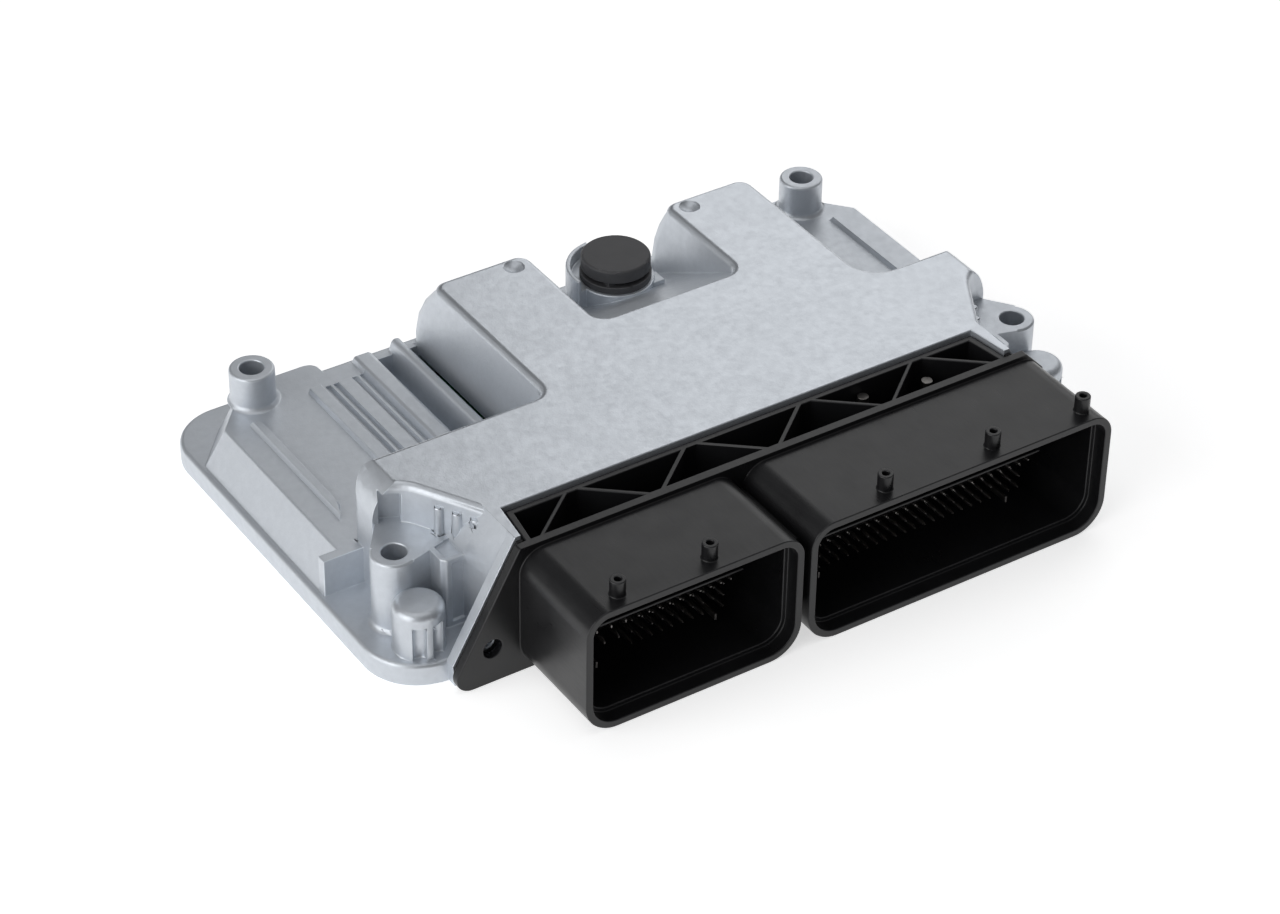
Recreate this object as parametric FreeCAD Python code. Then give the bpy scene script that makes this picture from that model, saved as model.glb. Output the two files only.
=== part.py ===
import FreeCAD, Part
import math
import os

# Engine control unit, millimetres. +Z is up, +X runs along the connectors toward the
# large mouth, +Y runs from the mouths to the back of the housing. The origin is at the
# middle of the footprint, on the mounting plane.

# Overall sizes
body_width = 212.0
body_depth = 125.0
shell_reach = 29.7
plate_thickness = 2.4
seal_thickness = 0.9

# Heights above the mounting plane
rim_height = 6.3
platform_height = 17.0
screw_boss_height = 20.0
boss_height = 27.0
lid_height = 38.4
strip_height = 37.3
shell_height = 36.0

# Casting
wall = 2.6
corner_radius = 15.0
flange_set_back = 2.9
rim_edge_radius = 1.2
slope_foot_inset = 1.8
platform_inset = 7.0
platform_front = 40.0
wing_back = 9.5
middle_back = 15.0
wing_width = 34.0
wing_corner = 3.0
corner_cut_width = 12.5
corner_cut_depth = 14.5
side_rib_inset = 13.4
side_rib_width = 3.3
side_rib_draft = 0.7
side_rib_rise = 1.3
side_rib_front = 12.5
side_rib_slant = 5.5
side_rib_length = 47.0
gusset_thickness = 3.0

# Mounting bosses, set in from the rim
boss_radius = 6.0
boss_hole_radius = 3.2
boss_edge_chamfer = 0.5
boss_foot_flare = 1.0
front_boss_side = 12.4
front_boss_set_back = 23.5
back_boss_side = 19.8
back_boss_set_in = 15.7

# Front pockets: the curved wall round each front boss, its web, a screw boss and a block.
# Angles are those of the right pocket.
boss_clearance = 5.6
web_start = 98.0
web_sweep = 95.0
web_flare = 54.0
web_bite = 0.8
niche_angle = 115.0
niche_width = 5.6
niche_depth = 2.0
niche_height = 8.5
draft_rib_radius = 1.3
draft_rib_height = 35.0
draft_rib_steps = (0.2, 0.45, 0.7)
screw_boss_side = 12.0
screw_boss_set_back = 11.7
screw_boss_radius = 6.5
screw_boss_edge_radius = 2.2
screw_groove_radius = 1.8
screw_groove_angles = (-62.0, -108.0)
screw_groove_top = 4.0
block_width = 12.4
block_depth = 9.0
block_set_back = 13.5
block_bevel = 1.2
panel_margin = 1.5
panel_depth = 0.8
shoulder_width = 6.0
frame_thickness = 3.0

# Raised lid: a band behind the ribbed strip and two lobes behind the band
lid_edge_radius = 2.0
end_shoulder = ((6.5, 0), (3.0, 2.6), (1.0, 5.9), (0, 9.9))
lid_front_half = 73.6
band_set_in = 13.0
band_depth = 34.2
lobe_length = 57.3
lobe_corner = 4.0
band_to_lobe_radius = 8.0
lobe_skirt_drops = (2.0, 3.8, 7.5, 12.5, 18.5)
lobe_skirt_reaches = (0, 0.2, 0.55, 0.85, 1.0)
left_skirt_back = 9.2
right_skirt_back = 5.6
skirt_side = 1.6
left_lobe_left = -36.5
left_lobe_right = -7.7
right_lobe_left = 35.5
right_lobe_right = 62.5
valley_set_back = 20.5
dimple_radius = 2.85
dimple_depth = 1.3
dimple_set_in = 4.7
left_dimple_x = -13.7
right_dimple_x = 41.5

# Cooling fins left of the left lobe: distance from the zone's left side, rise over the step
fin_zone_width = 36.5
low_fins = ((0.6, 1.3), (3.8, 1.3), (4.4, 0.1), (5.0, 0.1), (5.4, -1.0), (6.2, -1.0), (6.6, 0.1), (7.3, 0.1),
            (7.7, -1.0), (8.5, -1.0), (8.9, 0.3), (12.8, 0.3), (13.2, -0.8), (14.0, -0.8), (14.4, 0.2),
            (15.1, 0.2), (15.5, -0.8), (16.3, -0.8))
middle_fin = ((16.9, 1.3), (17.5, 1.7), (21.3, 1.7), (22.1, 1.1))
tall_fin = ((27.5, 0), (28.2, 2.4), (28.9, 3.0), (30.1, 3.0), (30.7, 2.5))
fin_draft = 0.4
groove_start = 22.6
low_fin_back = 6.0
groove_back = 2.0

# Vent in the valley
vent_x = 14.4
vent_set_back = 46.9
seat_radius = 10.4
seat_height = 29.2
seat_bore = 5.0
vent_radius = 9.6
vent_ring_height = 2.0
vent_foot_width = 2.4
vent_foot_set_out = 7.4
vent_foot_count = 4
vent_neck_radius = 4.6
vent_neck_length = 6.0
vent_passage = 2.8
cap_radius = 9.3
cap_gap = 1.2
cap_thickness = 3.6
cap_chamfer = 0.5
vent_seal_inner = 5.7
vent_seal_width = 1.3
vent_seal_height = 1.2
membrane_radius = 5.5
membrane_thickness = 0.3
collar_inner_radius = 12.0
collar_thickness = 1.3
collar_height = 32.6
collar_start = 95.0
collar_sweep = 95.0
pad_width = 3.6
pad_depth = 4.4
pad_height = 28.2
pad_angle = -30.0

# Connector header: sealing plate with ears and two mouths
plate_top_half = 74.4
plate_foot_half = 95.0
ear_tip_radius = 4.0
right_bevel_x = 77.0
right_shoulder_x = 82.5
right_shoulder_z = 31.5
right_foot_x = 96.3
ear_hole_radius = 2.6
ear_hole_height = 10.3
left_ear_hole_x = -82.2
right_ear_hole_x = 87.2
ear_bore_radius = 2.0
ear_bore_depth = 2.2
gasket_inset = 0.8
small_shell_left = -74.5
small_shell_width = 62.0
shell_gap = 2.0
large_shell_width = 92.0
shell_corner = 9.0
shell_top_corner = 6.5
shell_wall = 2.0
ledge_step = 1.3
ledge_depth = 4.0
web_set_back = 6.0
web_foot = 9.0
web_top = 30.0
post_radius = 2.0
post_bore = 0.9
post_length = 4.5
post_bore_depth = 3.5
post_set_back = 4.8
small_post_places = (11.5, 37.4)
large_post_places = (24.7, 57.4, 85.5)

# Ribbed strip on top of the header
strip_half = 71.5
strip_taper = 1.7
strip_depth = 14.4
strip_gap = 0.7
strip_underside = 20.0
strip_wall = 1.6
strip_node_count = 9
strip_node_pitch = 17.25
node_spread = 2.3
strip_seal_height = 7.0
strip_seal_drop = 0.7
locating_pin_radius = 1.5
locating_pin_top = 34.0
locating_pin_places = ((33.8, 11.2), (51.6, 8.2))

# Contacts: columns counted from each mouth's left side, rows from the top
contact_size = 0.8
contact_pitch = 2.96
row_pitch = 3.5
row_count = 4
top_row_height = 18.7
tip_set_back = 13.0
lower_tip_step = 3.0
small_column_count = 10
small_first_column = 23.1
large_column_count = 22
large_first_column = 14.5
power_width = 1.8
power_pitch = 4.1
power_column_count = 3
power_first_column = 11.2
power_rows = (0, 2)
index_width = 0.6
index_tall = 1.8
index_height = 8.6
small_index_places = (11.2, 45.6)
large_index_places = (12.3, 70.5)
guard_gap = 0.3
guard_thickness = 0.8
guard_set_back = 0.5
guard_margin = 4.0
pin_block_depth = 5.0
pin_block_margin = 1.6
first_leg_set_back = 12.0
leg_pitch = 2.2

# Underside
recess_inset = 3.7
recess_front = 2.6
recess_corner = 8.0
cover_thickness = 1.8
cover_clearance = 0.3
bead_height = 0.8
bead_width = 1.6
bead_gap = 0.8
bead_clearance = 0.1
cavity_inset = 12.5
throat_half = 70.0
sill_height = 5.5
sill_depth = 10.5
screw_head_radius = 2.6
screw_head_height = 1.0
screw_drive_radius = 1.3
screw_drive_depth = 0.6
cover_screw_radius = 1.5
cover_screw_grip = 3.0
cover_screw_inset = 3.4
side_screw_set_backs = (12.0, 60.0, 94.0)
back_screw_pitch = 48.0
front_screw_half = 80.0
front_screw_inset = 4.6

# Circuit board
board_thickness = 1.6
board_height = 4.0
board_gap = 0.7
pillar_radius = 3.4
board_screw_radius = 1.25
board_screw_grip = 4.0
board_head_radius = 2.4
board_head_height = 1.5
front_pillar_half = 64.0
front_pillar_set_back = 23.5
front_pillar_length = 6.4
side_pillar_inset = 5.5
side_pillar_set_backs = (50.0, 96.0)

# Board components: width, depth and height, or radius and height
processor_size = (27.0, 27.0, 2.2)
processor_place = (10.0, 33.5)
memory_size = (14.0, 20.0, 1.2)
memory_place = (38.0, 32.0)
supply_size = (12.0, 12.0, 1.6)
supply_place = (-24.0, 32.0)
driver_size = (9.0, 9.0, 1.1)
driver_count = 3
driver_pitch = 17.0
driver_set_back = 56.0
pad_thickness = 0.3
pad_margin = 1.0
transistor_size = (10.0, 9.0, 4.5)
transistor_columns = 2
transistor_rows = 3
transistor_pitch = 13.0
transistor_set_in = 19.5
transistor_set_back = 60.0
capacitor_radius = 8.0
capacitor_height = 26.0
left_capacitor_set_backs = (64.0, 86.0)
right_capacitor_set_back = 88.0
coil_size = (18.0, 18.0, 13.0)
coil_core_radius = 6.0
coil_core_height = 1.0
coil_set_back = 64.0
transceiver_size = (5.0, 4.0, 1.4)
transceiver_set_in = 6.5
transceiver_set_back = 66.0
knock_size = (10.0, 10.0, 1.4)
knock_set_in = 9.5
knock_set_back = 84.0
crystal_size = (11.0, 4.7, 3.5)
crystal_place = (-9.0, 26.0)
sensor_size = (7.0, 7.0, 3.0)
sensor_port_radius = 1.0
sensor_port_height = 2.0
chip_capacitor_size = (3.2, 1.6, 1.6)
chip_resistor_size = (2.0, 1.25, 0.6)
chip_pitch = 5.0
chip_count = 8
chip_capacitor_place = (-34.0, 50.0)
chip_resistor_place = (2.0, 56.0)
shunt_size = (6.3, 3.2, 1.0)
shunt_gap = 3.0
choke_radius = 7.0
choke_bore = 3.0
choke_height = 8.0
choke_place = (-57.0, 35.0)

# Places that follow from the sizes
half_width = body_width / 2
band_half = half_width - band_set_in
total_depth = shell_reach + plate_thickness + seal_thickness + body_depth
mouth_y = -total_depth / 2
plate_y = mouth_y + shell_reach
seal_y = plate_y + plate_thickness
front_y = seal_y + seal_thickness
back_y = front_y + body_depth
strip_back = plate_y + strip_depth
lid_front = strip_back + strip_gap
band_back = lid_front + band_depth
lobe_back = band_back + lobe_length
valley_front = band_back + valley_set_back
platform_y = front_y + platform_front
wing_y = back_y - wing_back
platform_back = back_y - middle_back
flange_front = front_y + flange_set_back
front_boss = (half_width - front_boss_side, front_y + front_boss_set_back)
back_boss = (half_width - back_boss_side, back_y - back_boss_set_in)
screw_boss = (half_width - screw_boss_side, front_y + screw_boss_set_back)
pocket_reach = boss_radius + boss_clearance
band_end_y = front_boss[1] + math.sqrt(pocket_reach**2 - (band_half - front_boss[0])**2)
block_y = front_y + block_set_back
frame_back = front_y + frame_thickness
small_shell_right = small_shell_left + small_shell_width
large_shell_left = small_shell_right + shell_gap
large_shell_right = large_shell_left + large_shell_width
large_strip_half = strip_half + strip_gap
board_top = board_height + board_thickness
groove_top = cover_thickness + bead_height
cavity_half = half_width - cavity_inset
side_pillar_half = cavity_half - side_pillar_inset
cavity_back = platform_back - wall
cavity_front = front_y + sill_depth
cavity_step = platform_y + wall
bead_reach = bead_gap + bead_width + cover_clearance
corner_cut_x = back_boss[0] - boss_radius - bead_reach
corner_cut_y = back_boss[1] - boss_radius - bead_reach
platform_roof = platform_height - wall
lid_roof = lid_height - wall
fin_left = left_lobe_left - fin_zone_width
fin_right = left_lobe_left - skirt_side
fin_middle = left_lobe_left - fin_zone_width / 2
fin_roof = board_top + driver_size[2] + pad_thickness
fin_root = fin_roof + wall
vent_y = band_back + vent_set_back
vent_ring_top = seat_height + vent_ring_height
cap_foot = vent_ring_top + cap_gap
tip_y = mouth_y + tip_set_back
pocket_floor = strip_underside + strip_wall
recess_half = half_width - recess_inset
recess_back = back_y - recess_inset
mounting_places = [front_boss, back_boss, (-front_boss[0], front_boss[1]), (-back_boss[0], back_boss[1])]


# Shape helpers
def box(x0, x1, y0, y1, z0, z1):
    return Part.makeBox(x1 - x0, y1 - y0, z1 - z0, FreeCAD.Vector(x0, y0, z0))


def cylinder(x, y, z0, z1, radius):
    return Part.makeCylinder(radius, z1 - z0, FreeCAD.Vector(x, y, z0))


def tube(x, y, z0, z1, outer, inner):
    return cylinder(x, y, z0, z1, outer).cut(cylinder(x, y, z0, z1, inner))


def along_y(x, z, y0, y1, radius):
    """Cylinder that lies along Y."""
    return Part.makeCylinder(radius, y1 - y0, FreeCAD.Vector(x, y0, z), FreeCAD.Vector(0, 1, 0))


def polar(centre, radius, angle):
    turn = math.radians(angle)
    return (centre[0] + radius * math.cos(turn), centre[1] + radius * math.sin(turn))


def place(plane, a, b, level):
    """Point with coordinates a and b in the named plane, at the given level off it."""
    if plane == "XY":
        return FreeCAD.Vector(a, b, level)
    if plane == "XZ":
        return FreeCAD.Vector(a, level, b)
    return FreeCAD.Vector(level, a, b)


def outline(points, plane="XY", level=0.0):
    """Closed wire through (a, b) or (a, b, radius) corners, rounded where a radius is given."""
    corners = [FreeCAD.Vector(point[0], point[1], 0) for point in points]
    bends = []
    for i, point in enumerate(points):
        corner = corners[i]
        if len(point) < 3:
            bends.append((corner, None, corner))
            continue
        before = (corners[i - 1] - corner).normalize()
        after = (corners[(i + 1) % len(points)] - corner).normalize()
        half_angle = before.getAngle(after) / 2
        reach = point[2] / math.tan(half_angle)
        inward = (before + after).normalize()
        middle = corner + inward * (point[2] / math.sin(half_angle) - point[2])
        bends.append((corner + before * reach, middle, corner + after * reach))
    edges = []
    for i, (start, middle, end) in enumerate(bends):
        following = bends[(i + 1) % len(bends)][0]
        if middle is not None:
            arc_points = [place(plane, p.x, p.y, level) for p in (start, middle, end)]
            edges.append(Part.Arc(*arc_points).toShape())
        if (following - end).Length > 1e-6:
            line_points = [place(plane, p.x, p.y, level) for p in (end, following)]
            edges.append(Part.LineSegment(*line_points).toShape())
    return Part.Wire(edges)


def raise_face(face, height):
    return face.extrude(FreeCAD.Vector(0, 0, height))


def prism(points, plane, start, end):
    """Solid of an outline in the named plane, from start to end along its normal."""
    return Part.Face(outline(points, plane, start)).extrude(place(plane, 0, 0, end - start))


def rounded_corners(x0, x1, y0, y1, radius):
    return [(x0, y0, radius), (x1, y0, radius), (x1, y1, radius), (x0, y1, radius)]


def fuse(shapes):
    return shapes[0].fuse(shapes[1:]).removeSplitter()


def cut(shape, tools):
    return shape.cut(tools).removeSplitter()


def both_sides(shape):
    """The shape and its copy across the plane X = 0."""
    return [shape, shape.mirror(FreeCAD.Vector(0, 0, 0), FreeCAD.Vector(1, 0, 0))]


def level_edges(shape, height):
    """Edges that lie in the horizontal plane at the given height."""
    return [e for e in shape.Edges
            if abs(e.BoundBox.ZMin - height) < 1e-4 and abs(e.BoundBox.ZMax - height) < 1e-4]


def on_board(size, x, set_back):
    """Component body of the given width, depth and height, standing on the board."""
    width, depth, height = size
    y = front_y + set_back
    return box(x - width / 2, x + width / 2, y - depth / 2, y + depth / 2, board_top, board_top + height)


# Shared outlines
def lid_wire(level):
    """Outline of the raised lid, whose front corners curve round the front mounting bosses."""
    boss_x, boss_y = front_boss
    span = math.hypot(boss_x - lid_front_half, boss_y - lid_front)
    corner_angle = math.atan2(boss_y - lid_front, boss_x - lid_front_half)
    tangent = math.pi + corner_angle - math.acos(pocket_reach / span)
    end = math.acos((band_half - boss_x) / pocket_reach)
    rear = [(band_half, band_end_y), (band_half, band_back, lobe_corner),
            (right_lobe_right, band_back, band_to_lobe_radius), (right_lobe_right, lobe_back, lobe_corner),
            (right_lobe_left, lobe_back, lobe_corner), (right_lobe_left, valley_front, lobe_corner),
            (left_lobe_right, valley_front, lobe_corner), (left_lobe_right, lobe_back, lobe_corner),
            (left_lobe_left, lobe_back, lobe_corner), (left_lobe_left, band_back, lobe_corner),
            (-band_half, band_back, lobe_corner), (-band_half, band_end_y)]
    edges = outline(rear, "XY", level).Edges[:-1]
    for side in (1, -1):
        arc_points = []
        for angle in (end, (end + tangent) / 2, tangent):
            x = side * (boss_x + pocket_reach * math.cos(angle))
            arc_points.append(FreeCAD.Vector(x, boss_y + pocket_reach * math.sin(angle), level))
        corner = FreeCAD.Vector(side * lid_front_half, lid_front, level)
        edges.append(Part.Arc(*arc_points).toShape())
        edges.append(Part.LineSegment(arc_points[2], corner).toShape())
    front = [FreeCAD.Vector(side * lid_front_half, lid_front, level) for side in (1, -1)]
    edges.append(Part.LineSegment(*front).toShape())
    return Part.Wire(Part.sortEdges(edges)[0])


def cavity_slab(grow, z0, z1):
    """Slab with the cavity's outline at the board, grown by the given distance."""
    half = cavity_half + grow
    throat = throat_half + grow
    step = cavity_step - grow
    back = cavity_back + grow
    cut_x = corner_cut_x + grow
    cut_y = corner_cut_y + grow
    right = [(throat, cavity_front - grow), (throat, step), (half, step), (half, cut_y), (cut_x, cut_y),
             (cut_x, back)]
    left = [(-x, y) for x, y in reversed(right)]
    return prism(right + left, "XY", z0, z1)


def recess_corners(clearance):
    half = recess_half - clearance
    front = flange_front + recess_front + clearance
    return rounded_corners(-half, half, front, recess_back - clearance, recess_corner)


def plate_edge(z):
    """How far the sealing plate's left slope stands from the middle at a height."""
    return plate_foot_half - (plate_foot_half - plate_top_half) * z / strip_height


def strip_corners(grow):
    """Ribbed strip seen from above, from the sealing plate's back, grown by a distance."""
    front_half = strip_half + grow
    back_half = front_half - strip_taper
    back = strip_back + grow
    return [(-front_half, seal_y), (front_half, seal_y), (back_half, back), (-back_half, back)]


# Upper housing
def flange():
    corners = rounded_corners(-half_width, half_width, flange_front, back_y, corner_radius)
    slab = prism(corners, "XY", 0, rim_height)
    return slab.makeFillet(rim_edge_radius, level_edges(slab, rim_height))


def front_frame():
    """Sloped-ended frame that the header's gasket seals on, before its opening is cut."""
    corners = [(plate_edge(0) - ear_tip_radius, 0), (plate_edge(rim_height), rim_height),
               (plate_edge(lid_height), lid_height)]
    corners += [(-x, z) for x, z in reversed(corners)]
    bores = [along_y(x, ear_hole_height, front_y, front_y + ear_bore_depth, ear_bore_radius)
             for x in (left_ear_hole_x, right_ear_hole_x)]
    return prism(corners, "XZ", front_y, frame_back).cut(bores)


def platform_wire(spread, level):
    """Outline of the side steps with cut back corners, spread outward on its slopes."""
    side = half_width - platform_inset + spread
    cut_angle = math.atan2(corner_cut_width, corner_cut_depth)
    cut_start = wing_y - corner_cut_depth + spread * math.tan(cut_angle / 2)
    cut_end = half_width - platform_inset - corner_cut_width + spread / math.cos(cut_angle)
    inner = half_width - platform_inset - wing_width
    right = [(side, platform_y), (side, cut_start), (cut_end, wing_y), (inner, wing_y, wing_corner),
             (inner, platform_back)]
    left = [(-point[0], *point[1:]) for point in reversed(right)]
    return outline(right + left, "XY", level)


def platform():
    """Side steps: a raised floor with sloped sides, set in from the rim."""
    foot = half_width - slope_foot_inset
    top = half_width - platform_inset
    wires = [platform_wire(foot - top, rim_height), platform_wire(0, platform_height)]
    steps = Part.makeLoft(wires, True, True)
    gusset_back = platform_y + gusset_thickness
    gusset = box(top - wing_width / 4, foot, platform_y, gusset_back, rim_height, platform_height)
    return fuse([steps] + both_sides(gusset))


def side_rib():
    """Low drafted rib on the right step, with a slanted front end."""
    start = platform_y + side_rib_front
    wires = []
    for inset, level in ((0, platform_height), (side_rib_draft, platform_height + side_rib_rise)):
        outer = half_width - side_rib_inset - inset
        inner = half_width - side_rib_inset - side_rib_width + inset
        back = start + side_rib_length - inset
        front = start + inset
        corners = [(outer, front), (outer, back), (inner, back), (inner, front + side_rib_slant)]
        wires.append(outline(corners, "XY", level))
    return Part.makeLoft(wires, True, True)


def shoulder_cutter():
    """What the lid's rounded right end leaves out."""
    curve = Part.BSplineCurve()
    curve.interpolate([place("XZ", band_half - inset, lid_height - drop, front_boss[1])
                       for inset, drop in end_shoulder])
    top, end = curve.StartPoint, curve.EndPoint
    above = FreeCAD.Vector(end.x + wall, end.y, top.z + wall)
    lines = [Part.LineSegment(a, b).toShape() for a, b in (
        (end, FreeCAD.Vector(above.x, end.y, end.z)), (FreeCAD.Vector(above.x, end.y, end.z), above),
        (above, FreeCAD.Vector(top.x, end.y, above.z)), (FreeCAD.Vector(top.x, end.y, above.z), top))]
    face = Part.Face(Part.Wire([curve.toShape()] + lines))
    return face.extrude(FreeCAD.Vector(0, band_back - front_boss[1] + wall, 0))


def lid_block():
    block = raise_face(Part.Face(lid_wire(rim_height)), lid_height - rim_height)
    rim = [e for e in level_edges(block, lid_height) if e.BoundBox.YMax > lid_front + wall]
    block = block.makeFillet(lid_edge_radius, rim)
    return fuse([block.cut(both_sides(shoulder_cutter())),
                 lobe_skirt(left_lobe_left, left_lobe_right, left_skirt_back),
                 lobe_skirt(right_lobe_left, right_lobe_right, right_skirt_back)])


def lobe_skirt(left, right, back_reach):
    """Drafted walls of a lobe, which spread toward the foot, mostly at the back."""
    sections = []
    for drop, reach in zip(lobe_skirt_drops, lobe_skirt_reaches):
        side = skirt_side * reach
        radius = lobe_corner + side
        corners = [(left - side, band_back - wall), (right + side, band_back - wall),
                   (right + side, lobe_back + back_reach * reach, radius),
                   (left - side, lobe_back + back_reach * reach, radius)]
        sections.append(outline(corners, "XY", lid_height - drop))
    foot = outline(corners, "XY", rim_height)
    return Part.makeLoft([foot] + sections[::-1], True, True)


def valley_ramp():
    """Sloped floor between the lobes, from the band's top down to the step."""
    front = valley_front - lid_edge_radius
    section = [(front, rim_height), (lobe_back, rim_height), (lobe_back, platform_height),
               (front, lid_height)]
    return prism(section, "YZ", left_lobe_right, right_lobe_left)


def fin_profile(low, deep):
    """Section of the fins, with or without their low grooves and deep grooves."""
    flat = platform_height
    end = fin_right - fin_left
    points = [(0, flat)]
    if low:
        points += [(x, flat + rise) for x, rise in low_fins]
    else:
        points.append((low_fins[-1][0], flat))
    points += [(x, flat + rise) for x, rise in middle_fin]
    floor = fin_root if deep else flat - fin_draft
    points.append((groove_start, floor))
    points.append((tall_fin[0][0] - fin_draft, floor))
    points += [(x, flat + rise) for x, rise in tall_fin]
    points.append((tall_fin[-1][0] + fin_draft, floor))
    points += [(end, floor), (end, fin_roof), (0, fin_roof)]
    return [(fin_left + x, z) for x, z in points]


def fin_comb():
    """Ridges and grooves that run to the back over the board's output drivers."""
    low_back = platform_back - low_fin_back
    deep_back = platform_back - groove_back
    return fuse([prism(fin_profile(True, True), "XZ", band_back, low_back),
                 prism(fin_profile(False, True), "XZ", low_back, deep_back),
                 prism(fin_profile(False, False), "XZ", deep_back, platform_back)])


def vent_seat():
    """Round seat of the vent, with a collar on its left and back and a pad on its right."""
    base = FreeCAD.Vector(vent_x, vent_y, rim_height)
    up = FreeCAD.Vector(0, 0, 1)
    height = collar_height - rim_height
    outer = Part.makeCylinder(collar_inner_radius + collar_thickness, height, base, up, collar_sweep)
    step = FreeCAD.Vector(vent_x, vent_y, seat_height)
    collar = outer.cut(Part.makeCylinder(collar_inner_radius, height, step, up))
    collar.rotate(base, up, collar_start)
    pad_x, pad_y = polar((vent_x, vent_y), seat_radius, pad_angle)
    pad = box(pad_x - pad_width / 2, pad_x + pad_width / 2, pad_y - pad_depth / 2, pad_y + pad_depth / 2,
              rim_height, pad_height)
    return fuse([cylinder(vent_x, vent_y, rim_height, seat_height, seat_radius), collar, pad])


def boss_web():
    """Raised floor between the right front boss and the curved wall behind it."""
    points = [polar(front_boss, boss_radius, web_start - web_flare)]
    step = web_sweep / 3
    points += [polar(front_boss, pocket_reach + web_bite, web_start + i * step) for i in range(4)]
    points += [polar(front_boss, boss_radius, web_start + web_sweep + web_flare)]
    return prism(points, "XY", cover_thickness, boss_height)


def screw_pillar():
    """Right screw boss with two draft grooves."""
    x, y = screw_boss
    pillar = cylinder(x, y, cover_thickness, screw_boss_height, screw_boss_radius)
    pillar = pillar.makeFillet(screw_boss_edge_radius, level_edges(pillar, screw_boss_height))
    grooves = []
    for angle in screw_groove_angles:
        groove_x, groove_y = polar(screw_boss, screw_boss_radius, angle)
        top = screw_boss_height - screw_groove_top
        grooves.append(cylinder(groove_x, groove_y, rim_height, top, screw_groove_radius))
    return pillar.cut(grooves)


def corner_block():
    """Right block between the screw boss and the ribbed strip, with sunk top and front panels."""
    left = lid_front_half
    right = left + block_width
    back = block_y + block_depth
    corners = [(left, block_y), (right - block_bevel, block_y), (right, block_y + block_bevel), (right, back),
               (left, back)]
    block = prism(corners, "XY", cover_thickness, boss_height)
    front_panel = box(left, right - block_bevel - panel_margin, block_y, block_y + panel_depth,
                      rim_height + panel_margin, boss_height - panel_margin)
    top_panel = box(plate_edge(lid_height) + shoulder_width / 2, right - panel_margin, block_y + panel_margin,
                    back - panel_margin, boss_height - panel_depth, boss_height)
    return block.cut([front_panel, top_panel])


def corner_shoulder():
    """Right wall beside the ribbed strip, from the frame back to the block."""
    foot_x = plate_edge(lid_height) + shoulder_width
    corners = [(throat_half, cover_thickness), (foot_x, cover_thickness), (foot_x, boss_height),
               (plate_edge(lid_height), lid_height), (throat_half, lid_height)]
    return prism(corners, "XZ", frame_back, block_y + block_depth)


def draft_ribs():
    """Small ribs down the right pocket's slanted wall."""
    tangent_x, tangent_y = polar(front_boss, pocket_reach, 150.0)
    ribs = []
    for step in draft_rib_steps:
        x = lid_front_half + (tangent_x - lid_front_half) * step
        y = lid_front + (tangent_y - lid_front) * step
        ribs.append(cylinder(x, y, rim_height, draft_rib_height, draft_rib_radius))
    return ribs


def niche():
    """Shallow recess in the left pocket's curved wall above the web."""
    x, y = polar(front_boss, pocket_reach - niche_depth, niche_angle)
    half = niche_width / 2
    shape = box(x - half, x + half, y, y + 2 * niche_depth, boss_height, boss_height + niche_height)
    shape.rotate(FreeCAD.Vector(x, y, 0), FreeCAD.Vector(0, 0, 1), niche_angle - 90)
    return both_sides(shape)[1]


def mounting_boss(x, y):
    boss = cylinder(x, y, 0, boss_height, boss_radius)
    floor = rim_height if y < platform_y else platform_height
    base = FreeCAD.Vector(x, y, floor)
    foot = Part.makeCone(boss_radius + boss_foot_flare, boss_radius, boss_foot_flare, base)
    return fuse([boss.makeChamfer(boss_edge_chamfer, level_edges(boss, boss_height)), foot])


def dimple(x):
    """Round dent in a lobe's top."""
    radius = (dimple_radius**2 + dimple_depth**2) / (2 * dimple_depth)
    centre = FreeCAD.Vector(x, lobe_back - dimple_set_in, lid_height - dimple_depth + radius)
    return Part.makeSphere(radius, centre)


def board_pillar(x, y, top):
    pillar = cylinder(x, y, board_top, top, pillar_radius)
    return pillar.cut(cylinder(x, y, board_top, board_top + board_screw_grip, board_screw_radius))


def front_bracket():
    """Right front board pillar, carried by the pocket's floor."""
    y = front_y + front_pillar_set_back
    top = board_top + front_pillar_length
    arm = box(front_pillar_half, throat_half + wall, y - pillar_radius, y + pillar_radius, board_top, top)
    hole = cylinder(front_pillar_half, y, board_top, board_top + board_screw_grip, board_screw_radius)
    return fuse([arm, cylinder(front_pillar_half, y, board_top, top, pillar_radius)]).cut(hole)


def board_screw_places():
    places = [(side * front_pillar_half, front_y + front_pillar_set_back) for side in (1, -1)]
    for set_back in side_pillar_set_backs:
        places += [(side * side_pillar_half, front_y + set_back) for side in (1, -1)]
    return places


def cover_screw_places():
    side_x = recess_half - cover_screw_inset
    places = [(side * side_x, front_y + set_back) for set_back in side_screw_set_backs for side in (1, -1)]
    places += [(i * back_screw_pitch, recess_back - cover_screw_inset) for i in (-1, 0, 1)]
    places += [(side * front_screw_half, flange_front + recess_front + front_screw_inset) for side in (1, -1)]
    return places


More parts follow.
